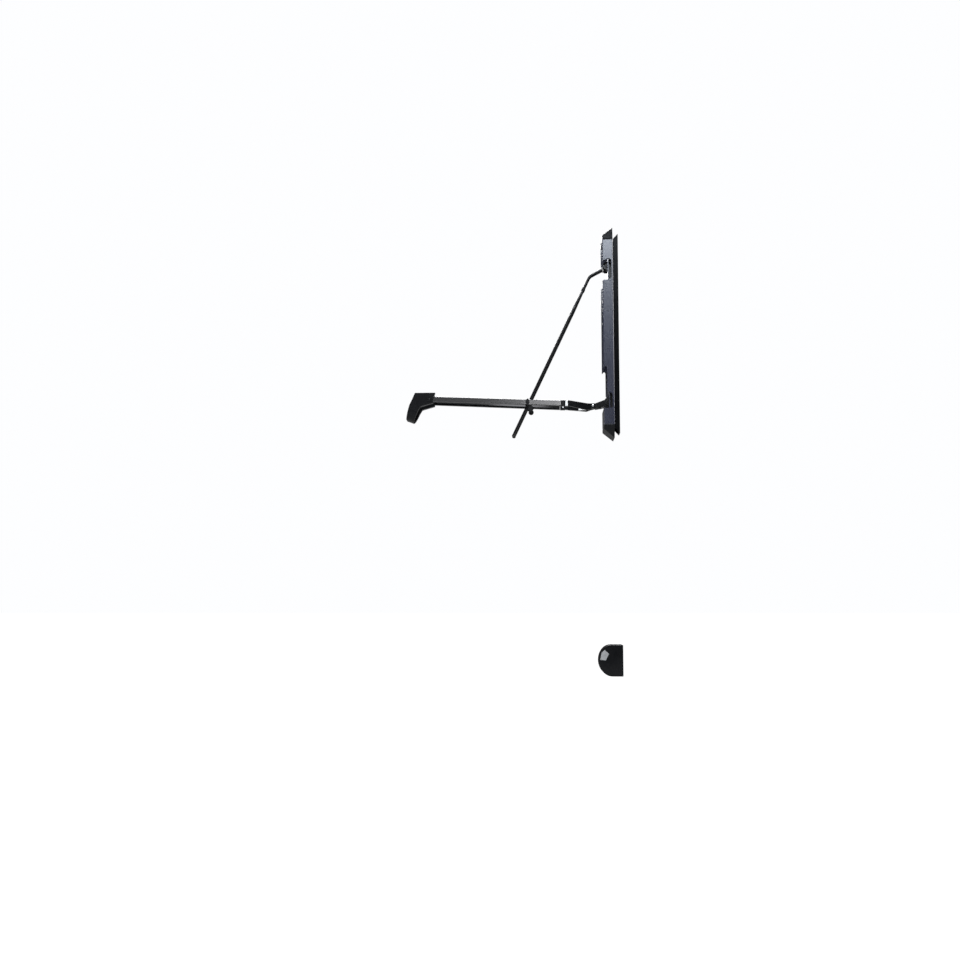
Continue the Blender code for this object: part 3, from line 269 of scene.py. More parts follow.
# %% Satin shell
shell_finish = Finish("satin_charcoal_moulding", specular=0.62, coat=0.30, coat_roughness=0.16)
drift = shell_finish.noise(9.0, 2.0)
peel = shell_finish.noise(520.0, 2.0)
grain = shell_finish.noise(2600.0, 2.0)
front = (0 - shell_finish.along("Y")).above(0.0468, 0.0489)
rub = front * shell_finish.noise(160.0, 5.0, 0.7, (1.0, 1.0, 0.16)).above(0.50, 0.66)
tone = shell_finish.blend(drift.above(0.3, 0.7), colour(0.0115, 0.0135, 0.0300),
                          colour(0.0155, 0.0178, 0.0380))
shell_finish.vary("Base Color", shell_finish.blend(rub * 0.55, tone, colour(0.060, 0.061, 0.070)))
shell_finish.vary("Roughness", 0.19 + drift * 0.06 + grain * 0.03 + rub * 0.18)
shell_finish.relief(peel * 0.7 + grain * 0.3, 0.00003, 0.55)
print("satin shell has", len(shell_finish.nodes), "nodes")

# %% [markdown]
# ## Grained black plastic
# Caps, cradle, links and tyre rest are moulded in a tougher plastic. The mould was etched, so the
# surface is a fine, even grain of pits that keeps the gloss low. Corners that get handled turn a
# little lighter and smoother, in patches.

# %% Grained black plastic
DARK_BLACK = colour(0.0060, 0.0061, 0.0068)
WORN_BLACK = colour(0.0085, 0.0086, 0.0094)
moulding = Finish("grained_black_moulding", specular=0.17)
pits = moulding.cells(2300.0)
patches = moulding.noise(26.0, 3.0)
scuffs = moulding.noise(210.0, 6.0, 0.72, (1.0, 0.22, 1.0)).above(0.60, 0.72)
tone = moulding.blend(patches.above(0.35, 0.7), DARK_BLACK, WORN_BLACK)
moulding.vary("Base Color", moulding.blend(scuffs * 0.30, tone, colour(0.014, 0.014, 0.015)))
moulding.vary("Roughness", 0.19 + patches * 0.06 + scuffs * 0.10)
moulding.relief(pits.above(0.0, 0.55), 0.00002, 0.5)
print("grained plastic has", len(moulding.nodes), "nodes")

# %% [markdown]
# ## Painted highlight on the tyre rest facets
# Near its nose, each wing of the tyre rest has a small sunken facet. It belongs to the same
# moulding, so its finish is the grained plastic with one more mask. That mask paints the facet
# silver and metallic: a painted highlight that stands in for the bright sheen such a chamfer catches.
# The facet's floor runs parallel to the flank and a little under it. A sum of the two coordinates
# is the same all over such a floor, so a narrow band of that sum picks it out, and the rounded rim
# of the nose, which crosses the band too, is kept out by its ellipse.

# %% Painted highlight on the tyre rest facets
REST_MIDDLE = -0.9855
REST_HALF_WIDTH = 0.046
REST_HALF_HEIGHT = 0.046
REST_SHOULDER = 0.033
REST_DEPTH = 0.071
REST_NOSE = REST_DEPTH - REST_SHOULDER
FLANK_START = 0.022
FLANK_SLOPE = 0.012 / (REST_DEPTH + 0.010 - FLANK_START)
FACET_SINK = 0.0008
BAND_EDGE = 0.00005

rest_finish = Finish("tyre_rest_moulding", specular=0.17)
out = 0 - rest_finish.along("Y")
under_flank = REST_HALF_WIDTH - abs(rest_finish.along("X")) - (out - FLANK_START) * FLANK_SLOPE
band_start = FACET_SINK - 0.0002
band_end = FACET_SINK + 0.0002
in_band = (under_flank.above(band_start, band_start + BAND_EDGE)
           * (1 - under_flank.above(band_end - BAND_EDGE, band_end)))
past_shoulder = (out - REST_SHOULDER) / REST_NOSE
off_middle = (rest_finish.along("Z") - REST_MIDDLE) / REST_HALF_HEIGHT
nose_round = past_shoulder ** 2 + off_middle ** 2
painted_facet_highlight = in_band * out.above(0.040, 0.0401) * (1 - nose_round.above(0.94, 0.95))
rest_pits = rest_finish.cells(2300.0)
rest_patches = rest_finish.noise(26.0, 3.0)
rest_tone = rest_finish.blend(rest_patches.above(0.35, 0.7), DARK_BLACK, WORN_BLACK)
# painted highlight: the facets are coloured silver and metallic in place of the sheen they catch, and
# the streaks only vary that painted highlight
highlight_streaks = rest_finish.noise(700.0, 3.0, 0.6, (1.0, 1.0, 0.05))
painted_highlight_silver = rest_finish.blend(highlight_streaks, colour(0.74, 0.74, 0.75), colour(0.90, 0.90, 0.91))
rest_finish.vary("Base Color", rest_finish.blend(painted_facet_highlight, rest_tone, painted_highlight_silver))
rest_finish.vary("Metallic", painted_facet_highlight * 0.95)
plain_gloss = (0.19 + rest_patches * 0.06) * (1 - painted_facet_highlight)
rest_finish.vary("Roughness", plain_gloss + painted_facet_highlight * (0.30 + highlight_streaks * 0.10))
rest_finish.relief(rest_pits.above(0.0, 0.55) * (1 - painted_facet_highlight), 0.00002, 0.5)
print("tyre rest finish has", len(rest_finish.nodes), "nodes")

# %% [markdown]
# ## Powder-coated steel
# The rod loop and the spine are steel under a baked powder coat. The powder melts into small round
# hills, which break a highlight into a soft string of beads. It is harder and glossier than the
# plastics, with the odd speck of dust baked in.

# %% Powder-coated steel
powder = Finish("black_powder_coat", specular=0.28)
hills = powder.noise(1500.0, 1.5)
haze = powder.noise(34.0, 3.0)
specks = powder.cells(420.0).above(0.0, 0.085)
tone = powder.blend(haze.above(0.3, 0.7), colour(0.0060, 0.0061, 0.0067),
                    colour(0.0088, 0.0089, 0.0096))
powder.vary("Base Color", powder.blend((1 - specks) * 0.35, tone, colour(0.075, 0.075, 0.078)))
powder.vary("Roughness", 0.19 + haze * 0.06 + hills * 0.03)
powder.relief(hills, 0.000025, 0.6)
print("powder coat has", len(powder.nodes), "nodes")

# %% [markdown]
# ## Wall plate
# The wall plate behind the housing is sheet steel under a flat, chalky coat. It shows as a near
# black strip, so its gloss is held far down.

# %% Wall plate
flat_coat = Finish("flat_black_coat", specular=0.05)
ripple = flat_coat.noise(900.0, 2.0)
cloudy = flat_coat.noise(18.0, 3.0)
chalk = flat_coat.noise(150.0, 5.0, 0.7).above(0.60, 0.76)
tone = flat_coat.blend(cloudy.above(0.3, 0.7), colour(0.0022, 0.0023, 0.0028),
                       colour(0.0034, 0.0035, 0.0041))
flat_coat.vary("Base Color", flat_coat.blend(chalk * 0.3, tone, colour(0.012, 0.012, 0.013)))
flat_coat.vary("Roughness", 0.18 + cloudy * 0.08 + chalk * 0.15)
flat_coat.relief(ripple, 0.00003, 0.5)
print("wall plate coat has", len(flat_coat.nodes), "nodes")

# %% [markdown]
# ## Blackened steel
# The rings that close the upper pivot are turned steel, blackened in an oil bath. Turning leaves
# fine rings, the black is thin, and bare metal shows through where it was rubbed.

# %% Blackened steel
blackened = Finish("blackened_steel", metallic=1.0)
smoke = blackened.noise(180.0, 3.0)
rub_marks = blackened.noise(900.0, 5.0, 0.7).above(0.56, 0.72)
tone = blackened.blend(smoke.above(0.35, 0.65), colour(0.030, 0.030, 0.033),
                       colour(0.055, 0.055, 0.058))
blackened.vary("Base Color", blackened.blend(rub_marks * 0.35, tone, colour(0.20, 0.20, 0.20)))
blackened.vary("Roughness", 0.26 + smoke * 0.12 + rub_marks * 0.10)
blackened.relief(smoke, 0.00002, 0.4)
print("blackened steel has", len(blackened.nodes), "nodes")

# %% [markdown]
# ## Anodised bars
# The two bars are drawn aluminium with a dark grey anodised skin. Drawing leaves long, straight die
# lines and the skin keeps them, so the grain is noise squeezed hard across the bar and stretched
# along it.
# Close to the clips and sockets the skin is rubbed a little brighter. The faces that look at each
# other get painted shade: a darker colour that stands in for the shadow between the two bars, and a
# smoother skin. A face that looks inward has a direction and a place on opposite sides of the
# middle, so the product of the two is negative.

# %% Anodised bars
CLIP_REACH = 0.278
ROOT_REACH = 0.180
anodised = Finish("grey_anodised_bar", metallic=1.0)
lines = anodised.noise(900.0, 4.0, 0.65, (1.0, 0.012, 1.0))
clouds = anodised.noise(30.0, 2.0, 0.5, (1.0, 0.3, 1.0))
reach = 0 - anodised.along("Y")
near_clip = 1 - abs(reach - CLIP_REACH).above(0.008, 0.020)
near_root = 1 - abs(reach - ROOT_REACH).above(0.003, 0.016)
rubbed = (near_clip + near_root) * lines.above(0.46, 0.60)
tone = anodised.blend(clouds.above(0.3, 0.7), colour(0.095, 0.095, 0.097),
                      colour(0.115, 0.115, 0.118))
tone = anodised.blend(lines.above(0.40, 0.72) * 0.35, tone, colour(0.150, 0.150, 0.153))
tone = anodised.blend(rubbed * 0.4, tone, colour(0.24, 0.24, 0.245))
# painted shade: faces that look inward are darkened to stand in for the shadow between the bars
painted_inner_shade = (0 - anodised.facing("X") * anodised.along("X")).above(0.006, 0.012)
anodised.vary("Base Color", anodised.blend(painted_inner_shade, tone, colour(0.035, 0.035, 0.037)))
anodised.vary("Roughness", 0.12 + clouds * 0.06 + lines * 0.06 - painted_inner_shade * 0.10)
anodised.relief(lines, 0.000005, 0.25)
print("anodised bar has", len(anodised.nodes), "nodes")

# %% [markdown]
# ## White nylon
# Washers, rings and slide pads are natural nylon: milky, a touch warm, slightly waxy, and greyed in
# the grain by use.

# %% White nylon
nylon = Finish("milky_nylon", specular=0.45)
milk = nylon.noise(60.0, 3.0)
fine = nylon.noise(1900.0, 3.0)
used = nylon.noise(260.0, 5.0, 0.7).above(0.58, 0.74)
tone = nylon.blend(milk.above(0.3, 0.7), colour(0.90, 0.90, 0.885), colour(0.83, 0.825, 0.80))
nylon.vary("Base Color", nylon.blend(used * 0.35, tone, colour(0.48, 0.475, 0.46)))
nylon.vary("Roughness", 0.38 + milk * 0.10 + used * 0.12)
nylon.relief(fine, 0.00004, 0.5)
print("nylon has", len(nylon.nodes), "nodes")

# %% [markdown]
# ## Plated steel
# Screws and pins are steel with a thin zinc plate. The plate is bright but cloudy, with a faint
# bluish and straw tint that drifts from place to place, and fine scratches from the driver.

# %% Plated steel
plated = Finish("bright_zinc_plate", metallic=1.0)
cloud = plated.noise(240.0, 3.0)
scratch = plated.noise(1400.0, 5.0, 0.7, (0.2, 1.0, 0.35)).above(0.55, 0.70)
tone = plated.blend(cloud.above(0.35, 0.65), colour(0.56, 0.58, 0.61), colour(0.62, 0.605, 0.56))
plated.vary("Base Color", plated.blend(scratch * 0.45, tone, colour(0.36, 0.36, 0.36)))
plated.vary("Roughness", 0.22 + cloud * 0.14 + scratch * 0.15)
plated.relief(scratch, 0.00002, 0.5)
print("plated steel has", len(plated.nodes), "nodes")

# %% [markdown]
# ## Black rubber
# Liner, pads, buffers and sleeve are soft rubber: nearly no gloss, a velvety fine grain, and grey
# dust that settles in patches.

# %% Black rubber
rubber = Finish("soft_black_rubber", specular=0.28)
velvet = rubber.noise(2400.0, 4.0)
dust = rubber.noise(75.0, 5.0, 0.65).above(0.48, 0.76)
tone = rubber.blend(rubber.noise(22.0, 2.0).above(0.3, 0.7), colour(0.0062, 0.0062, 0.0066),
                    colour(0.0095, 0.0095, 0.0100))
rubber.vary("Base Color", rubber.blend(dust * 0.4, tone, colour(0.032, 0.0315, 0.030)))
rubber.vary("Roughness", 0.74 + velvet * 0.12 + dust * 0.08)
rubber.relief(velvet, 0.00007, 0.6)
print("rubber has", len(rubber.nodes), "nodes")

# %% [markdown]
# ## Floor finish
# A matt, pale studio floor with a breath of unevenness. It glows where the camera sees it, and is
# a dim grey to everything that it is mirrored in.

# %% Floor finish
matt_floor = Finish("pale_matt_floor", roughness=0.9, specular=0.2)
seen = matt_floor.add("ShaderNodeLightPath")
pale = matt_floor.blend(matt_floor.noise(1.5, 2.0), colour(0.86, 0.86, 0.86), colour(0.89, 0.89, 0.89))
matt_floor.vary("Base Color", matt_floor.blend(seen, colour(0.35, 0.35, 0.35), pale))
glow = matt_floor.blend(seen, colour(0.10, 0.10, 0.10), colour(1.0, 1.0, 1.0))
matt_floor.vary("Emission Color", glow)
matt_floor.shader.inputs["Emission Strength"].default_value = 1.0
floor.data.materials.append(matt_floor.material)
print("floor done")

# %% [markdown]
# ## Finishes on the ready-made solids
# Each solid names the slot of its finish in the record, so one loop gives them all their new coat.

# %% Finishes on the ready-made solids
FINISHES = {"satin_shell": shell_finish, "black_plastic": moulding, "black_steel": powder,
            "grey_bar": anodised, "white_nylon": nylon, "plated_steel": plated, "black_rubber": rubber}
slot_of = {part["node"]: part["material_slot"] for part in frame["record"]["subparts"]}
bodies = frame["record"]["behaviour"]["bodies"]
body_of = {node: body for body, nodes in bodies.items() for node in nodes}
OWN_FINISH = {"wall_plate": flat_coat, "upper_arm_left_ring": blackened,
              "upper_arm_right_ring": blackened}
for node_name, node in frame["nodes"].items():
    for slot in node.material_slots:
        slot.material = OWN_FINISH.get(node_name, FINISHES[slot_of[node_name]]).material
print("coated", len(frame["nodes"]), "solids")

# %% [markdown]
# ## A small workshop
# The same few moves make most pieces: draw an outline point by point, fill it, pull it straight or
# turn it on a lathe, then cut and round it. A new primitive is selected all over and the loaded
# solids are too, so each tool first deselects everything.

# %% A small workshop


def alone(piece):
    """Select one piece and nothing else."""
    bpy.ops.object.select_all(action="DESELECT")
    piece.select_set(True)
    bpy.context.view_layer.objects.active = piece


def pick(test, kind="FACE"):
    """In edit mode, select faces by their middle and normal, or edges by their middle and run."""
    bpy.ops.mesh.select_mode(type=kind)
    bpy.ops.mesh.select_all(action="DESELECT")
    work = bmesh.from_edit_mesh(bpy.context.active_object.data)
    if kind == "FACE":
        chosen = [face for face in work.faces if test(face.calc_center_median(), face.normal)]
    else:
        ends = [(edge, edge.verts[0].co, edge.verts[1].co) for edge in work.edges]
        chosen = [edge for edge, start, end in ends if test((start + end) / 2, end - start)]
    for item in chosen:
        item.select_set(True)
    work.select_flush_mode()
    bmesh.update_edit_mesh(bpy.context.active_object.data)


def draw(name, points):
    """A filled outline, as by hand: a plane merged to one point, which is pulled out again and again."""
    bpy.ops.object.select_all(action="DESELECT")
    points = [Vector(point) for point in points]
    bpy.ops.mesh.primitive_plane_add(size=0.01, location=points[0])
    piece = bpy.context.active_object
    piece.name = name
    bpy.ops.object.transform_apply(location=True, rotation=True, scale=True)
    bpy.ops.object.mode_set(mode="EDIT")
    bpy.ops.mesh.select_mode(type="VERT")
    bpy.ops.mesh.select_all(action="SELECT")
    bpy.ops.mesh.merge(type="CENTER")
    for before, after in zip(points, points[1:]):
        bpy.ops.mesh.extrude_vertices_move(TRANSFORM_OT_translate={"value": after - before})
    bpy.ops.mesh.select_all(action="SELECT")
    bpy.ops.mesh.edge_face_add()
    bpy.ops.object.mode_set(mode="OBJECT")
    return piece


def tidy_mesh():
    """In edit mode, merge what lies on one spot and turn every face outwards."""
    bpy.ops.mesh.select_all(action="SELECT")
    bpy.ops.mesh.remove_doubles(threshold=0.000002)
    bpy.ops.mesh.normals_make_consistent(inside=False)


def pulled(name, points, pull):
    """A straight solid: the outline pulled along a vector."""
    piece = draw(name, points)
    bpy.ops.object.mode_set(mode="EDIT")
    bpy.ops.mesh.select_mode(type="FACE")
    bpy.ops.mesh.select_all(action="SELECT")
    bpy.ops.mesh.extrude_region_move(TRANSFORM_OT_translate={"value": Vector(pull)})
    tidy_mesh()
    bpy.ops.object.mode_set(mode="OBJECT")
    return piece


def lathed(name, points, centre, axis, steps):
    """A turned solid: the closed outline spun once round an axis."""
    piece = draw(name, points)
    bpy.ops.object.mode_set(mode="EDIT")
    bpy.ops.mesh.select_mode(type="EDGE")
    bpy.ops.mesh.select_all(action="SELECT")
    bpy.ops.mesh.delete(type="ONLY_FACE")
    bpy.ops.mesh.select_all(action="SELECT")
    bpy.ops.mesh.spin(steps=steps, angle=math.tau, center=centre, axis=axis)
    tidy_mesh()
    bpy.ops.object.mode_set(mode="OBJECT")
    return piece


def changed(piece, kind, **settings):
    """Add one modifier, set it, and make it part of the mesh."""
    alone(piece)
    modifier = piece.modifiers.new(kind.title(), kind)
    for key, value in settings.items():
        setattr(modifier, key, value)
    bpy.ops.object.modifier_apply(modifier=modifier.name)


def cut(piece, tool):
    """Take one solid away from another, and throw it away."""
    changed(piece, "BOOLEAN", operation="DIFFERENCE", solver="EXACT", object=tool)
    bpy.data.objects.remove(tool, do_unlink=True)
    return piece


def rounded(piece, width, segments, limit):
    """Round the edges that turn by more than a limit in degrees."""
    changed(piece, "BEVEL", width=width, segments=segments, limit_method="ANGLE",
            angle_limit=math.radians(limit))


def done(piece, node_name):
    """Smooth it, coat it, hang it on the body of the solid that it stands for, and hide that solid."""
    alone(piece)
    bpy.ops.object.transform_apply(location=True, rotation=True, scale=True)
    bpy.ops.object.shade_smooth_by_angle(angle=math.radians(32.0))
    finish_slot = slot_of[node_name]
    piece.data.materials.clear()
    piece.data.materials.append(FINISHES[finish_slot].material)
    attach(piece, body_of[node_name])
    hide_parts(node_name)
    piece.data.name = piece.name
    return piece


print("workshop ready")

# %% [markdown]
# ## Socket screws
# A button-head screw is a short cylinder whose rim is rounded over, with a six-sided pocket for the
# key and a shank below. One of each size is modelled at the origin and copied to its places. Each
# copy has its own mesh, and its turn and place go into that mesh.

# %% One screw of each size


def button_screw(name, head, tall, shank, length):
    """A screw with its seat at the origin: head radius and height, shank radius and length."""
    bpy.ops.object.select_all(action="DESELECT")
    bpy.ops.mesh.primitive_cylinder_add(vertices=32, radius=head, depth=tall,
                                        location=(0.0, 0.0, tall / 2))
    piece = bpy.context.active_object
    piece.name = name
    bpy.ops.object.transform_apply(location=True, rotation=True, scale=True)
    bpy.ops.object.mode_set(mode="EDIT")
    pick(lambda middle, run: middle.z > tall * 0.99 and abs(run.z) < tall * 0.01, "EDGE")
    bpy.ops.mesh.bevel(offset=tall * 0.55, segments=5, profile=0.5)
    pick(lambda middle, normal: normal.z < -0.9)
    bpy.ops.mesh.inset(thickness=head - shank)
    bpy.ops.mesh.extrude_region_move(TRANSFORM_OT_translate={"value": (0.0, 0.0, 0.3 * shank - length)})
    bpy.ops.mesh.extrude_region_move(TRANSFORM_OT_translate={"value": (0.0, 0.0, -0.3 * shank)})
    bpy.ops.transform.resize(value=(0.75, 0.75, 1.0))
    bpy.ops.object.mode_set(mode="OBJECT")
    bpy.ops.mesh.primitive_cylinder_add(vertices=6, radius=head * 0.46, depth=tall * 1.3,
                                        location=(0.0, 0.0, tall * 1.02))
    pocket = bpy.context.active_object
    return cut(piece, pocket)


SCREW_SIZES = {"wall": (0.0055, 0.0035, 0.003, 0.0025), "rest": (0.0055, 0.0035, 0.003, 0.0125),
               "cover": (0.0040, 0.0035, 0.002, 0.0055), "socket": (0.0024, 0.0014, 0.0011, 0.0016),
               "link": (0.0040, 0.0020, 0.002, 0.0105), "cradle": (0.0042, 0.0022, 0.002, 0.0085)}
patterns = {size: button_screw("pattern_" + size, *numbers) for size, numbers in SCREW_SIZES.items()}
print("screw patterns:", ", ".join(patterns))

# %% [markdown]
# The seat of each screw is read off the solid that it stands for: a screw's head is at one end of
# that solid's box, so the box and the way the screw points give the place.

# %% Screws in their places


def set_screw(node_name, size, way):
    """Copy a pattern to the place of a solid, pointing the way that it is driven in."""
    low, high = (Vector(corner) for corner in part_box(node_name))
    way = Vector(way)
    tall = SCREW_SIZES[size][1]
    middle = (low + high) / 2
    half = abs((high - low).dot(way)) / 2
    seat = middle - way * (half - tall)
    source = patterns[size]
    copy = source.copy()
    copy.data = source.data.copy()
    copy.name = node_name + "_head"
    bpy.context.scene.collection.objects.link(copy)
    copy.rotation_euler = (-way).to_track_quat("Z", "Y").to_euler()
    copy.location = seat
    return done(copy, node_name)


screws = []
for height in ("upper", "lower"):
    screws.append(set_screw(height + "_tyre_rest_screw", "rest", (0, 1, 0)))
    for side in ("left", "right"):
        screws.append(set_screw(height + "_" + side + "_wall_screw", "wall", (0, 1, 0)))
for number in range(1, 5):
    screws.append(set_screw("cover_screw_%d" % number, "cover", (0, -1, 0)))
for side, sign in (("left", -1), ("right", 1)):
    screws.append(set_screw(side + "_link_screw", "link", (-sign, 0, 0)))
    screws.append(set_screw(side + "_cradle_screw", "cradle", (-sign, 0, 0)))
    screws.append(set_screw(side + "_socket_screw", "socket", (sign, 0, 0)))
for pattern in patterns.values():
    bpy.data.objects.remove(pattern, do_unlink=True)
print(len(screws), "screws set")

# %% [markdown]
# ## The bent rod
# The upper arm is one steel rod, bent to a long loop. It can be made as a curve with a thickness,
# but bending it is truer to the thing: a ring of edges is pulled straight, then spun round each
# bend's centre. Half of it is bent this way, and a mirror gives the other leg.

# %% The bent rod
UPPER_PIVOT = Vector((0.0, -0.033, 0.210))
ROD_RADIUS = 0.004
STEM_ANGLE = math.radians(27.8)
LEG_ANGLE = math.radians(25.4)
LEG_WAY = Vector((0.0, -math.sin(LEG_ANGLE), -math.cos(LEG_ANGLE)))
STEM_WAY = Vector((0.0, -math.cos(STEM_ANGLE), -math.sin(STEM_ANGLE)))
NEAR = Vector((0.0065, 0.0, 0.0))
FAR = Vector((0.0245, 0.0, 0.0))
STEM_START = 0.008
STEM_END = 0.060
SPLAY_START = 0.056
SPLAY_END = 0.114
LEG_END = 0.546
elbow = UPPER_PIVOT + STEM_WAY * STEM_END
foot = elbow + LEG_WAY * LEG_END
corners = [UPPER_PIVOT + STEM_WAY * STEM_START + NEAR, elbow + NEAR,
           elbow + LEG_WAY * SPLAY_START + NEAR, elbow + LEG_WAY * SPLAY_END + FAR, foot + FAR, foot]
bend_radii = [0.025, 0.030, 0.030, 0.011]


def bent_rod(name, corners, radii, radius, sides=20):
    """Pull a ring along each straight and spin it round each bend."""
    way = (corners[1] - corners[0]).normalized()
    bpy.ops.object.select_all(action="DESELECT")
    bpy.ops.mesh.primitive_circle_add(vertices=sides, radius=radius, location=corners[0],
                                      rotation=way.to_track_quat("Z", "Y").to_euler())
    piece = bpy.context.active_object
    piece.name = name
    bpy.ops.object.transform_apply(location=True, rotation=True, scale=True)
    bpy.ops.object.mode_set(mode="EDIT")
    bpy.ops.mesh.select_mode(type="EDGE")
    bpy.ops.mesh.select_all(action="SELECT")
    here = corners[0]
    for corner, following, bend in zip(corners[1:], corners[2:], radii):
        ahead = (following - corner).normalized()
        swing = way.angle(ahead)
        reach = bend * math.tan(swing / 2)
        start = corner - way * reach
        bpy.ops.mesh.extrude_region_move(TRANSFORM_OT_translate={"value": start - here})
        axis = way.cross(ahead).normalized()
        centre = start + axis.cross(way) * bend
        steps = max(3, round(math.degrees(swing) / 6))
        bpy.ops.mesh.spin(steps=steps, angle=-swing, center=centre, axis=axis)
        here = corner + ahead * reach
        way = ahead
    bpy.ops.mesh.extrude_region_move(TRANSFORM_OT_translate={"value": corners[-1] - here})
    bpy.ops.object.mode_set(mode="OBJECT")
    return piece


loop = bent_rod("bent_rod_loop", corners, bend_radii, ROD_RADIUS)
changed(loop, "MIRROR", use_axis=(True, False, False), use_clip=True, merge_threshold=0.00001)
bpy.ops.object.mode_set(mode="EDIT")
bpy.ops.mesh.select_mode(type="EDGE")
bpy.ops.mesh.select_all(action="DESELECT")
bpy.ops.mesh.select_non_manifold()
bpy.ops.mesh.fill_holes(sides=0)
tidy_mesh()
bpy.ops.object.mode_set(mode="OBJECT")
done(loop, "rod_loop")
print("rod loop reaches down to", round(min(v.co.z for v in loop.data.vertices), 4))

# %% [markdown]
# ## Rubber sleeve on the crossbar
# The sleeve that leans on the tyre is a thick rubber tube with shallow grip rings. Its section is
# drawn as a comb and turned on the lathe round the crossbar.

# %% Rubber sleeve
sleeve_low, sleeve_high = (Vector(corner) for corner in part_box("crossbar_sleeve"))
sleeve_middle = (sleeve_low + sleeve_high) / 2
sleeve_radius = (sleeve_high.z - sleeve_low.z) / 2
half_length = (sleeve_high.x - sleeve_low.x) / 2
RINGS = 5
SLEEVE_BORE = ROD_RADIUS + 0.0002
RIM_WIDE = 0.0009
RIM_TALL = 0.0010
GROOVE_TOP = 0.0008
GROOVE_FLOOR = 0.0004
GROOVE_DEEP = 0.0006
comb = [(-half_length, SLEEVE_BORE), (-half_length, sleeve_radius - RIM_TALL),
        (-half_length + RIM_WIDE, sleeve_radius)]
pitch = (2 * half_length - 2 * RIM_WIDE) / RINGS
for ring in range(1, RINGS):
    x = -half_length + RIM_WIDE + ring * pitch
    comb += [(x - GROOVE_TOP, sleeve_radius), (x - GROOVE_FLOOR, sleeve_radius - GROOVE_DEEP),
             (x + GROOVE_FLOOR, sleeve_radius - GROOVE_DEEP), (x + GROOVE_TOP, sleeve_radius)]
comb += [(half_length - RIM_WIDE, sleeve_radius), (half_length, sleeve_radius - RIM_TALL),
         (half_length, SLEEVE_BORE)]
grip = lathed("ringed_sleeve", [(x, sleeve_middle.y, sleeve_middle.z + r) for x, r in comb],
              sleeve_middle, (1, 0, 0), 36)
done(grip, "crossbar_sleeve")
print("sleeve radius", round(1000 * sleeve_radius, 2), "mm")

# %% [markdown]
# ## Tyre rest
# The block on the wall that takes the rear tyre is one moulding. Seen from the side its front is
# half an ellipse. A cylinder squashed to that ellipse, cut in half and pulled back to the wall gives
# the outer form. The tapered flanks, the channel, the two sunken facets and the screw holes are cut
# from it.

# %% Tyre rest
REST_FLOOR = 0.0195
CHANNEL_HALF = 0.026
CHANNEL_FLARE = 0.008
CHANNEL_CORNER = 0.012
FLARE_START = REST_DEPTH * 0.62
FACET_CORNERS = [(0.765, 0.693), (0.585, 0.439), (0.720, 0.024), (0.952, 0.046), (0.895, 0.487)]
SCREW_LIFT = 0.02576
SHANK_BORE = 0.0033
HEAD_BORE = 0.0058


def trim_to_flank(side, sink, **dropped):
    """In edit mode, bisect along a plane that lies parallel to one flank, sunk by a little."""
    bpy.ops.mesh.select_all(action="SELECT")
    taper = Vector((side, -FLANK_SLOPE, 0.0)).normalized()
    bpy.ops.mesh.bisect(plane_co=(side * (REST_HALF_WIDTH - sink), -FLANK_START, 0.0),
                        plane_no=taper, use_fill=True, **dropped)


def screw_hole(piece, radius, front, length, sign):
    """Drill one of the two screw holes, which run level from the wall side outwards."""
    bpy.ops.mesh.primitive_cylinder_add(vertices=28, radius=radius, depth=length,
                                        location=(0.0, front, REST_MIDDLE + sign * SCREW_LIFT),
                                        rotation=(math.radians(90.0), 0.0, 0.0))
    cut(piece, bpy.context.active_object)


bpy.ops.object.select_all(action="DESELECT")
bpy.ops.mesh.primitive_cylinder_add(vertices=96, radius=REST_HALF_HEIGHT, depth=2 * REST_HALF_WIDTH,
                                    location=(0.0, -REST_SHOULDER, REST_MIDDLE),
                                    rotation=(0.0, math.radians(90.0), 0.0))
rest = bpy.context.active_object
rest.name = "moulded_tyre_rest"
bpy.ops.object.transform_apply(location=True, rotation=True, scale=True)
bpy.ops.object.mode_set(mode="EDIT")
bpy.ops.mesh.select_all(action="SELECT")
bpy.ops.mesh.bisect(plane_co=(0.0, -REST_SHOULDER, 0.0), plane_no=(0.0, 1.0, 0.0), clear_outer=True,
                    use_fill=True)
bpy.ops.mesh.select_all(action="SELECT")
squash = REST_NOSE / REST_HALF_HEIGHT
bpy.ops.transform.resize(value=(1.0, squash, 1.0), center_override=(0.0, -REST_SHOULDER, REST_MIDDLE))
pick(lambda middle, normal: normal.y > 0.9)
bpy.ops.mesh.extrude_region_move(TRANSFORM_OT_translate={"value": (0.0, REST_SHOULDER, 0.0)})
for side in (1, -1):
    trim_to_flank(side, 0.0, clear_outer=True)
tidy_mesh()
bpy.ops.object.mode_set(mode="OBJECT")
low_end = REST_MIDDLE - 0.09
channel = [(-CHANNEL_HALF - CHANNEL_FLARE, -REST_DEPTH - 0.01), (-CHANNEL_HALF, -FLARE_START)]
for side, first in ((-1, 180.0), (1, 90.0)):
    middle = side * (CHANNEL_HALF - CHANNEL_CORNER)
    for turn in range(9):
        angle = math.radians(first - 90.0 * turn / 8)
        channel.append((middle + CHANNEL_CORNER * math.cos(angle),
                        -REST_FLOOR - CHANNEL_CORNER + CHANNEL_CORNER * math.sin(angle)))
channel += [(CHANNEL_HALF, -FLARE_START), (CHANNEL_HALF + CHANNEL_FLARE, -REST_DEPTH - 0.01)]
cut(rest, pulled("channel_tool", [(x, y, low_end) for x, y in channel], (0.0, 0.0, 0.18)))
rounded(rest, width=0.0016, segments=4, limit=28.0)
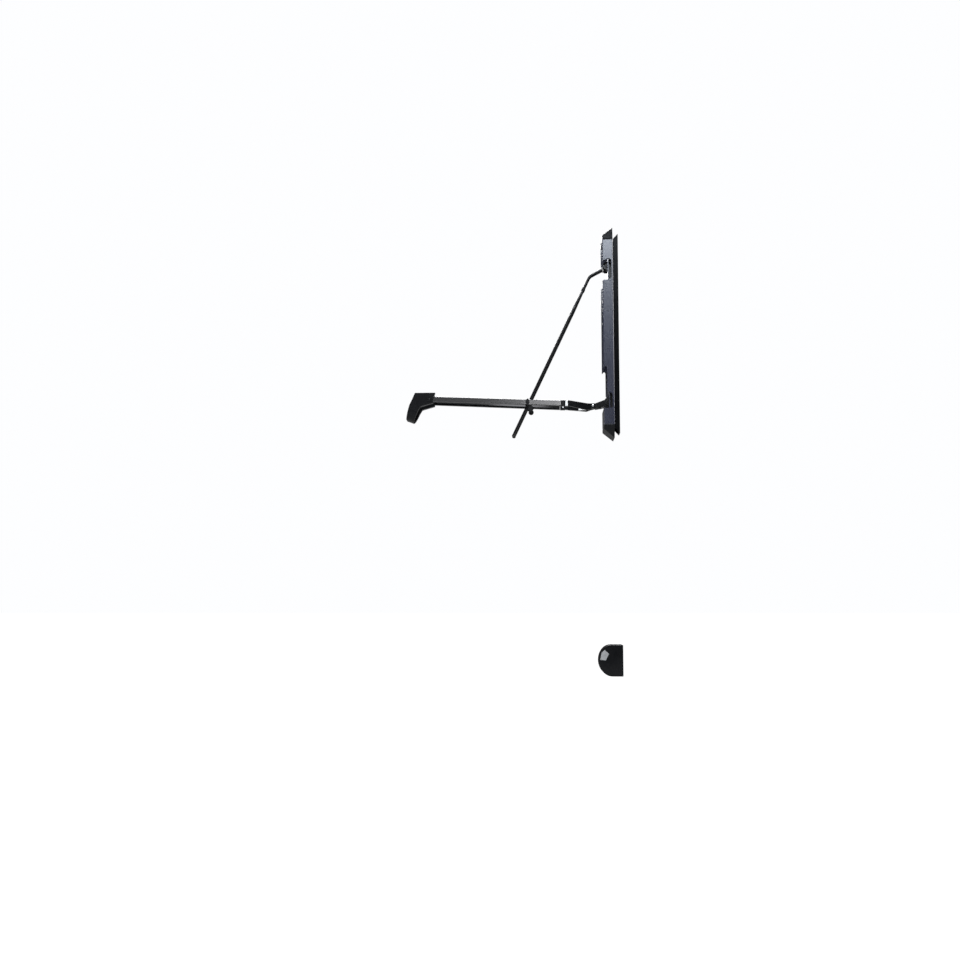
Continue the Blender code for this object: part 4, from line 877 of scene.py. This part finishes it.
for side in (1, -1):
    outline = [(side * 0.020, -out_share * REST_DEPTH, REST_MIDDLE + rise_share * REST_HALF_HEIGHT)
               for out_share, rise_share in FACET_CORNERS]
    tool = pulled("facet_tool", outline, (side * 0.040, 0.0, 0.0))
    bpy.ops.object.mode_set(mode="EDIT")
    trim_to_flank(side, FACET_SINK, clear_inner=True)
    tidy_mesh()
    bpy.ops.object.mode_set(mode="OBJECT")
    cut(rest, tool)
for sign in (1, -1):
    screw_hole(rest, SHANK_BORE, -0.02, 0.06, sign)
    screw_hole(rest, HEAD_BORE, -REST_FLOOR - 0.024, 0.06, sign)
done(rest, "tyre_rest")
rest.material_slots[0].material = rest_finish.material
print("tyre rest", len(rest.data.polygons), "faces")

# %% [markdown]
# ## Ribbed liner
# The tyre stands on a rubber strip with cross ribs. A grid is pulled to its thickness, then every
# other strip of its front is pulled once more.

# %% Ribbed liner
liner_low, liner_high = (Vector(corner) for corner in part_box("tyre_rest_liner"))
liner_size = liner_high - liner_low
RIBS = 17
bpy.ops.object.select_all(action="DESELECT")
bpy.ops.mesh.primitive_grid_add(x_subdivisions=3, y_subdivisions=2 * RIBS + 1, size=1.0,
                                location=(0.0, liner_high.y, (liner_low.z + liner_high.z) / 2),
                                rotation=(math.radians(90.0), 0.0, 0.0))
liner = bpy.context.active_object
liner.name = "ribbed_liner"
liner.scale = (liner_size.x, liner_size.z, 1.0)
bpy.ops.object.transform_apply(location=True, rotation=True, scale=True)
bpy.ops.object.mode_set(mode="EDIT")
bpy.ops.mesh.select_all(action="SELECT")
RIB_TALL = 0.0008
bpy.ops.mesh.extrude_region_move(TRANSFORM_OT_translate={"value": (0.0, RIB_TALL - liner_size.y, 0.0)})
tidy_mesh()
strip = liner_size.z / (2 * RIBS + 1)
pick(lambda middle, normal: normal.y < -0.9 and int((middle.z - liner_low.z) / strip) % 2 == 1)
bpy.ops.mesh.extrude_region_move(TRANSFORM_OT_translate={"value": (0.0, -RIB_TALL, 0.0)})
tidy_mesh()
bpy.ops.object.mode_set(mode="OBJECT")
for sign in (1, -1):
    screw_hole(liner, HEAD_BORE, liner_low.y, 0.03, sign)
rounded(liner, width=0.0002, segments=1, limit=40.0)
done(liner, "tyre_rest_liner")
print("liner ribs", RIBS)

# %% The end
import json
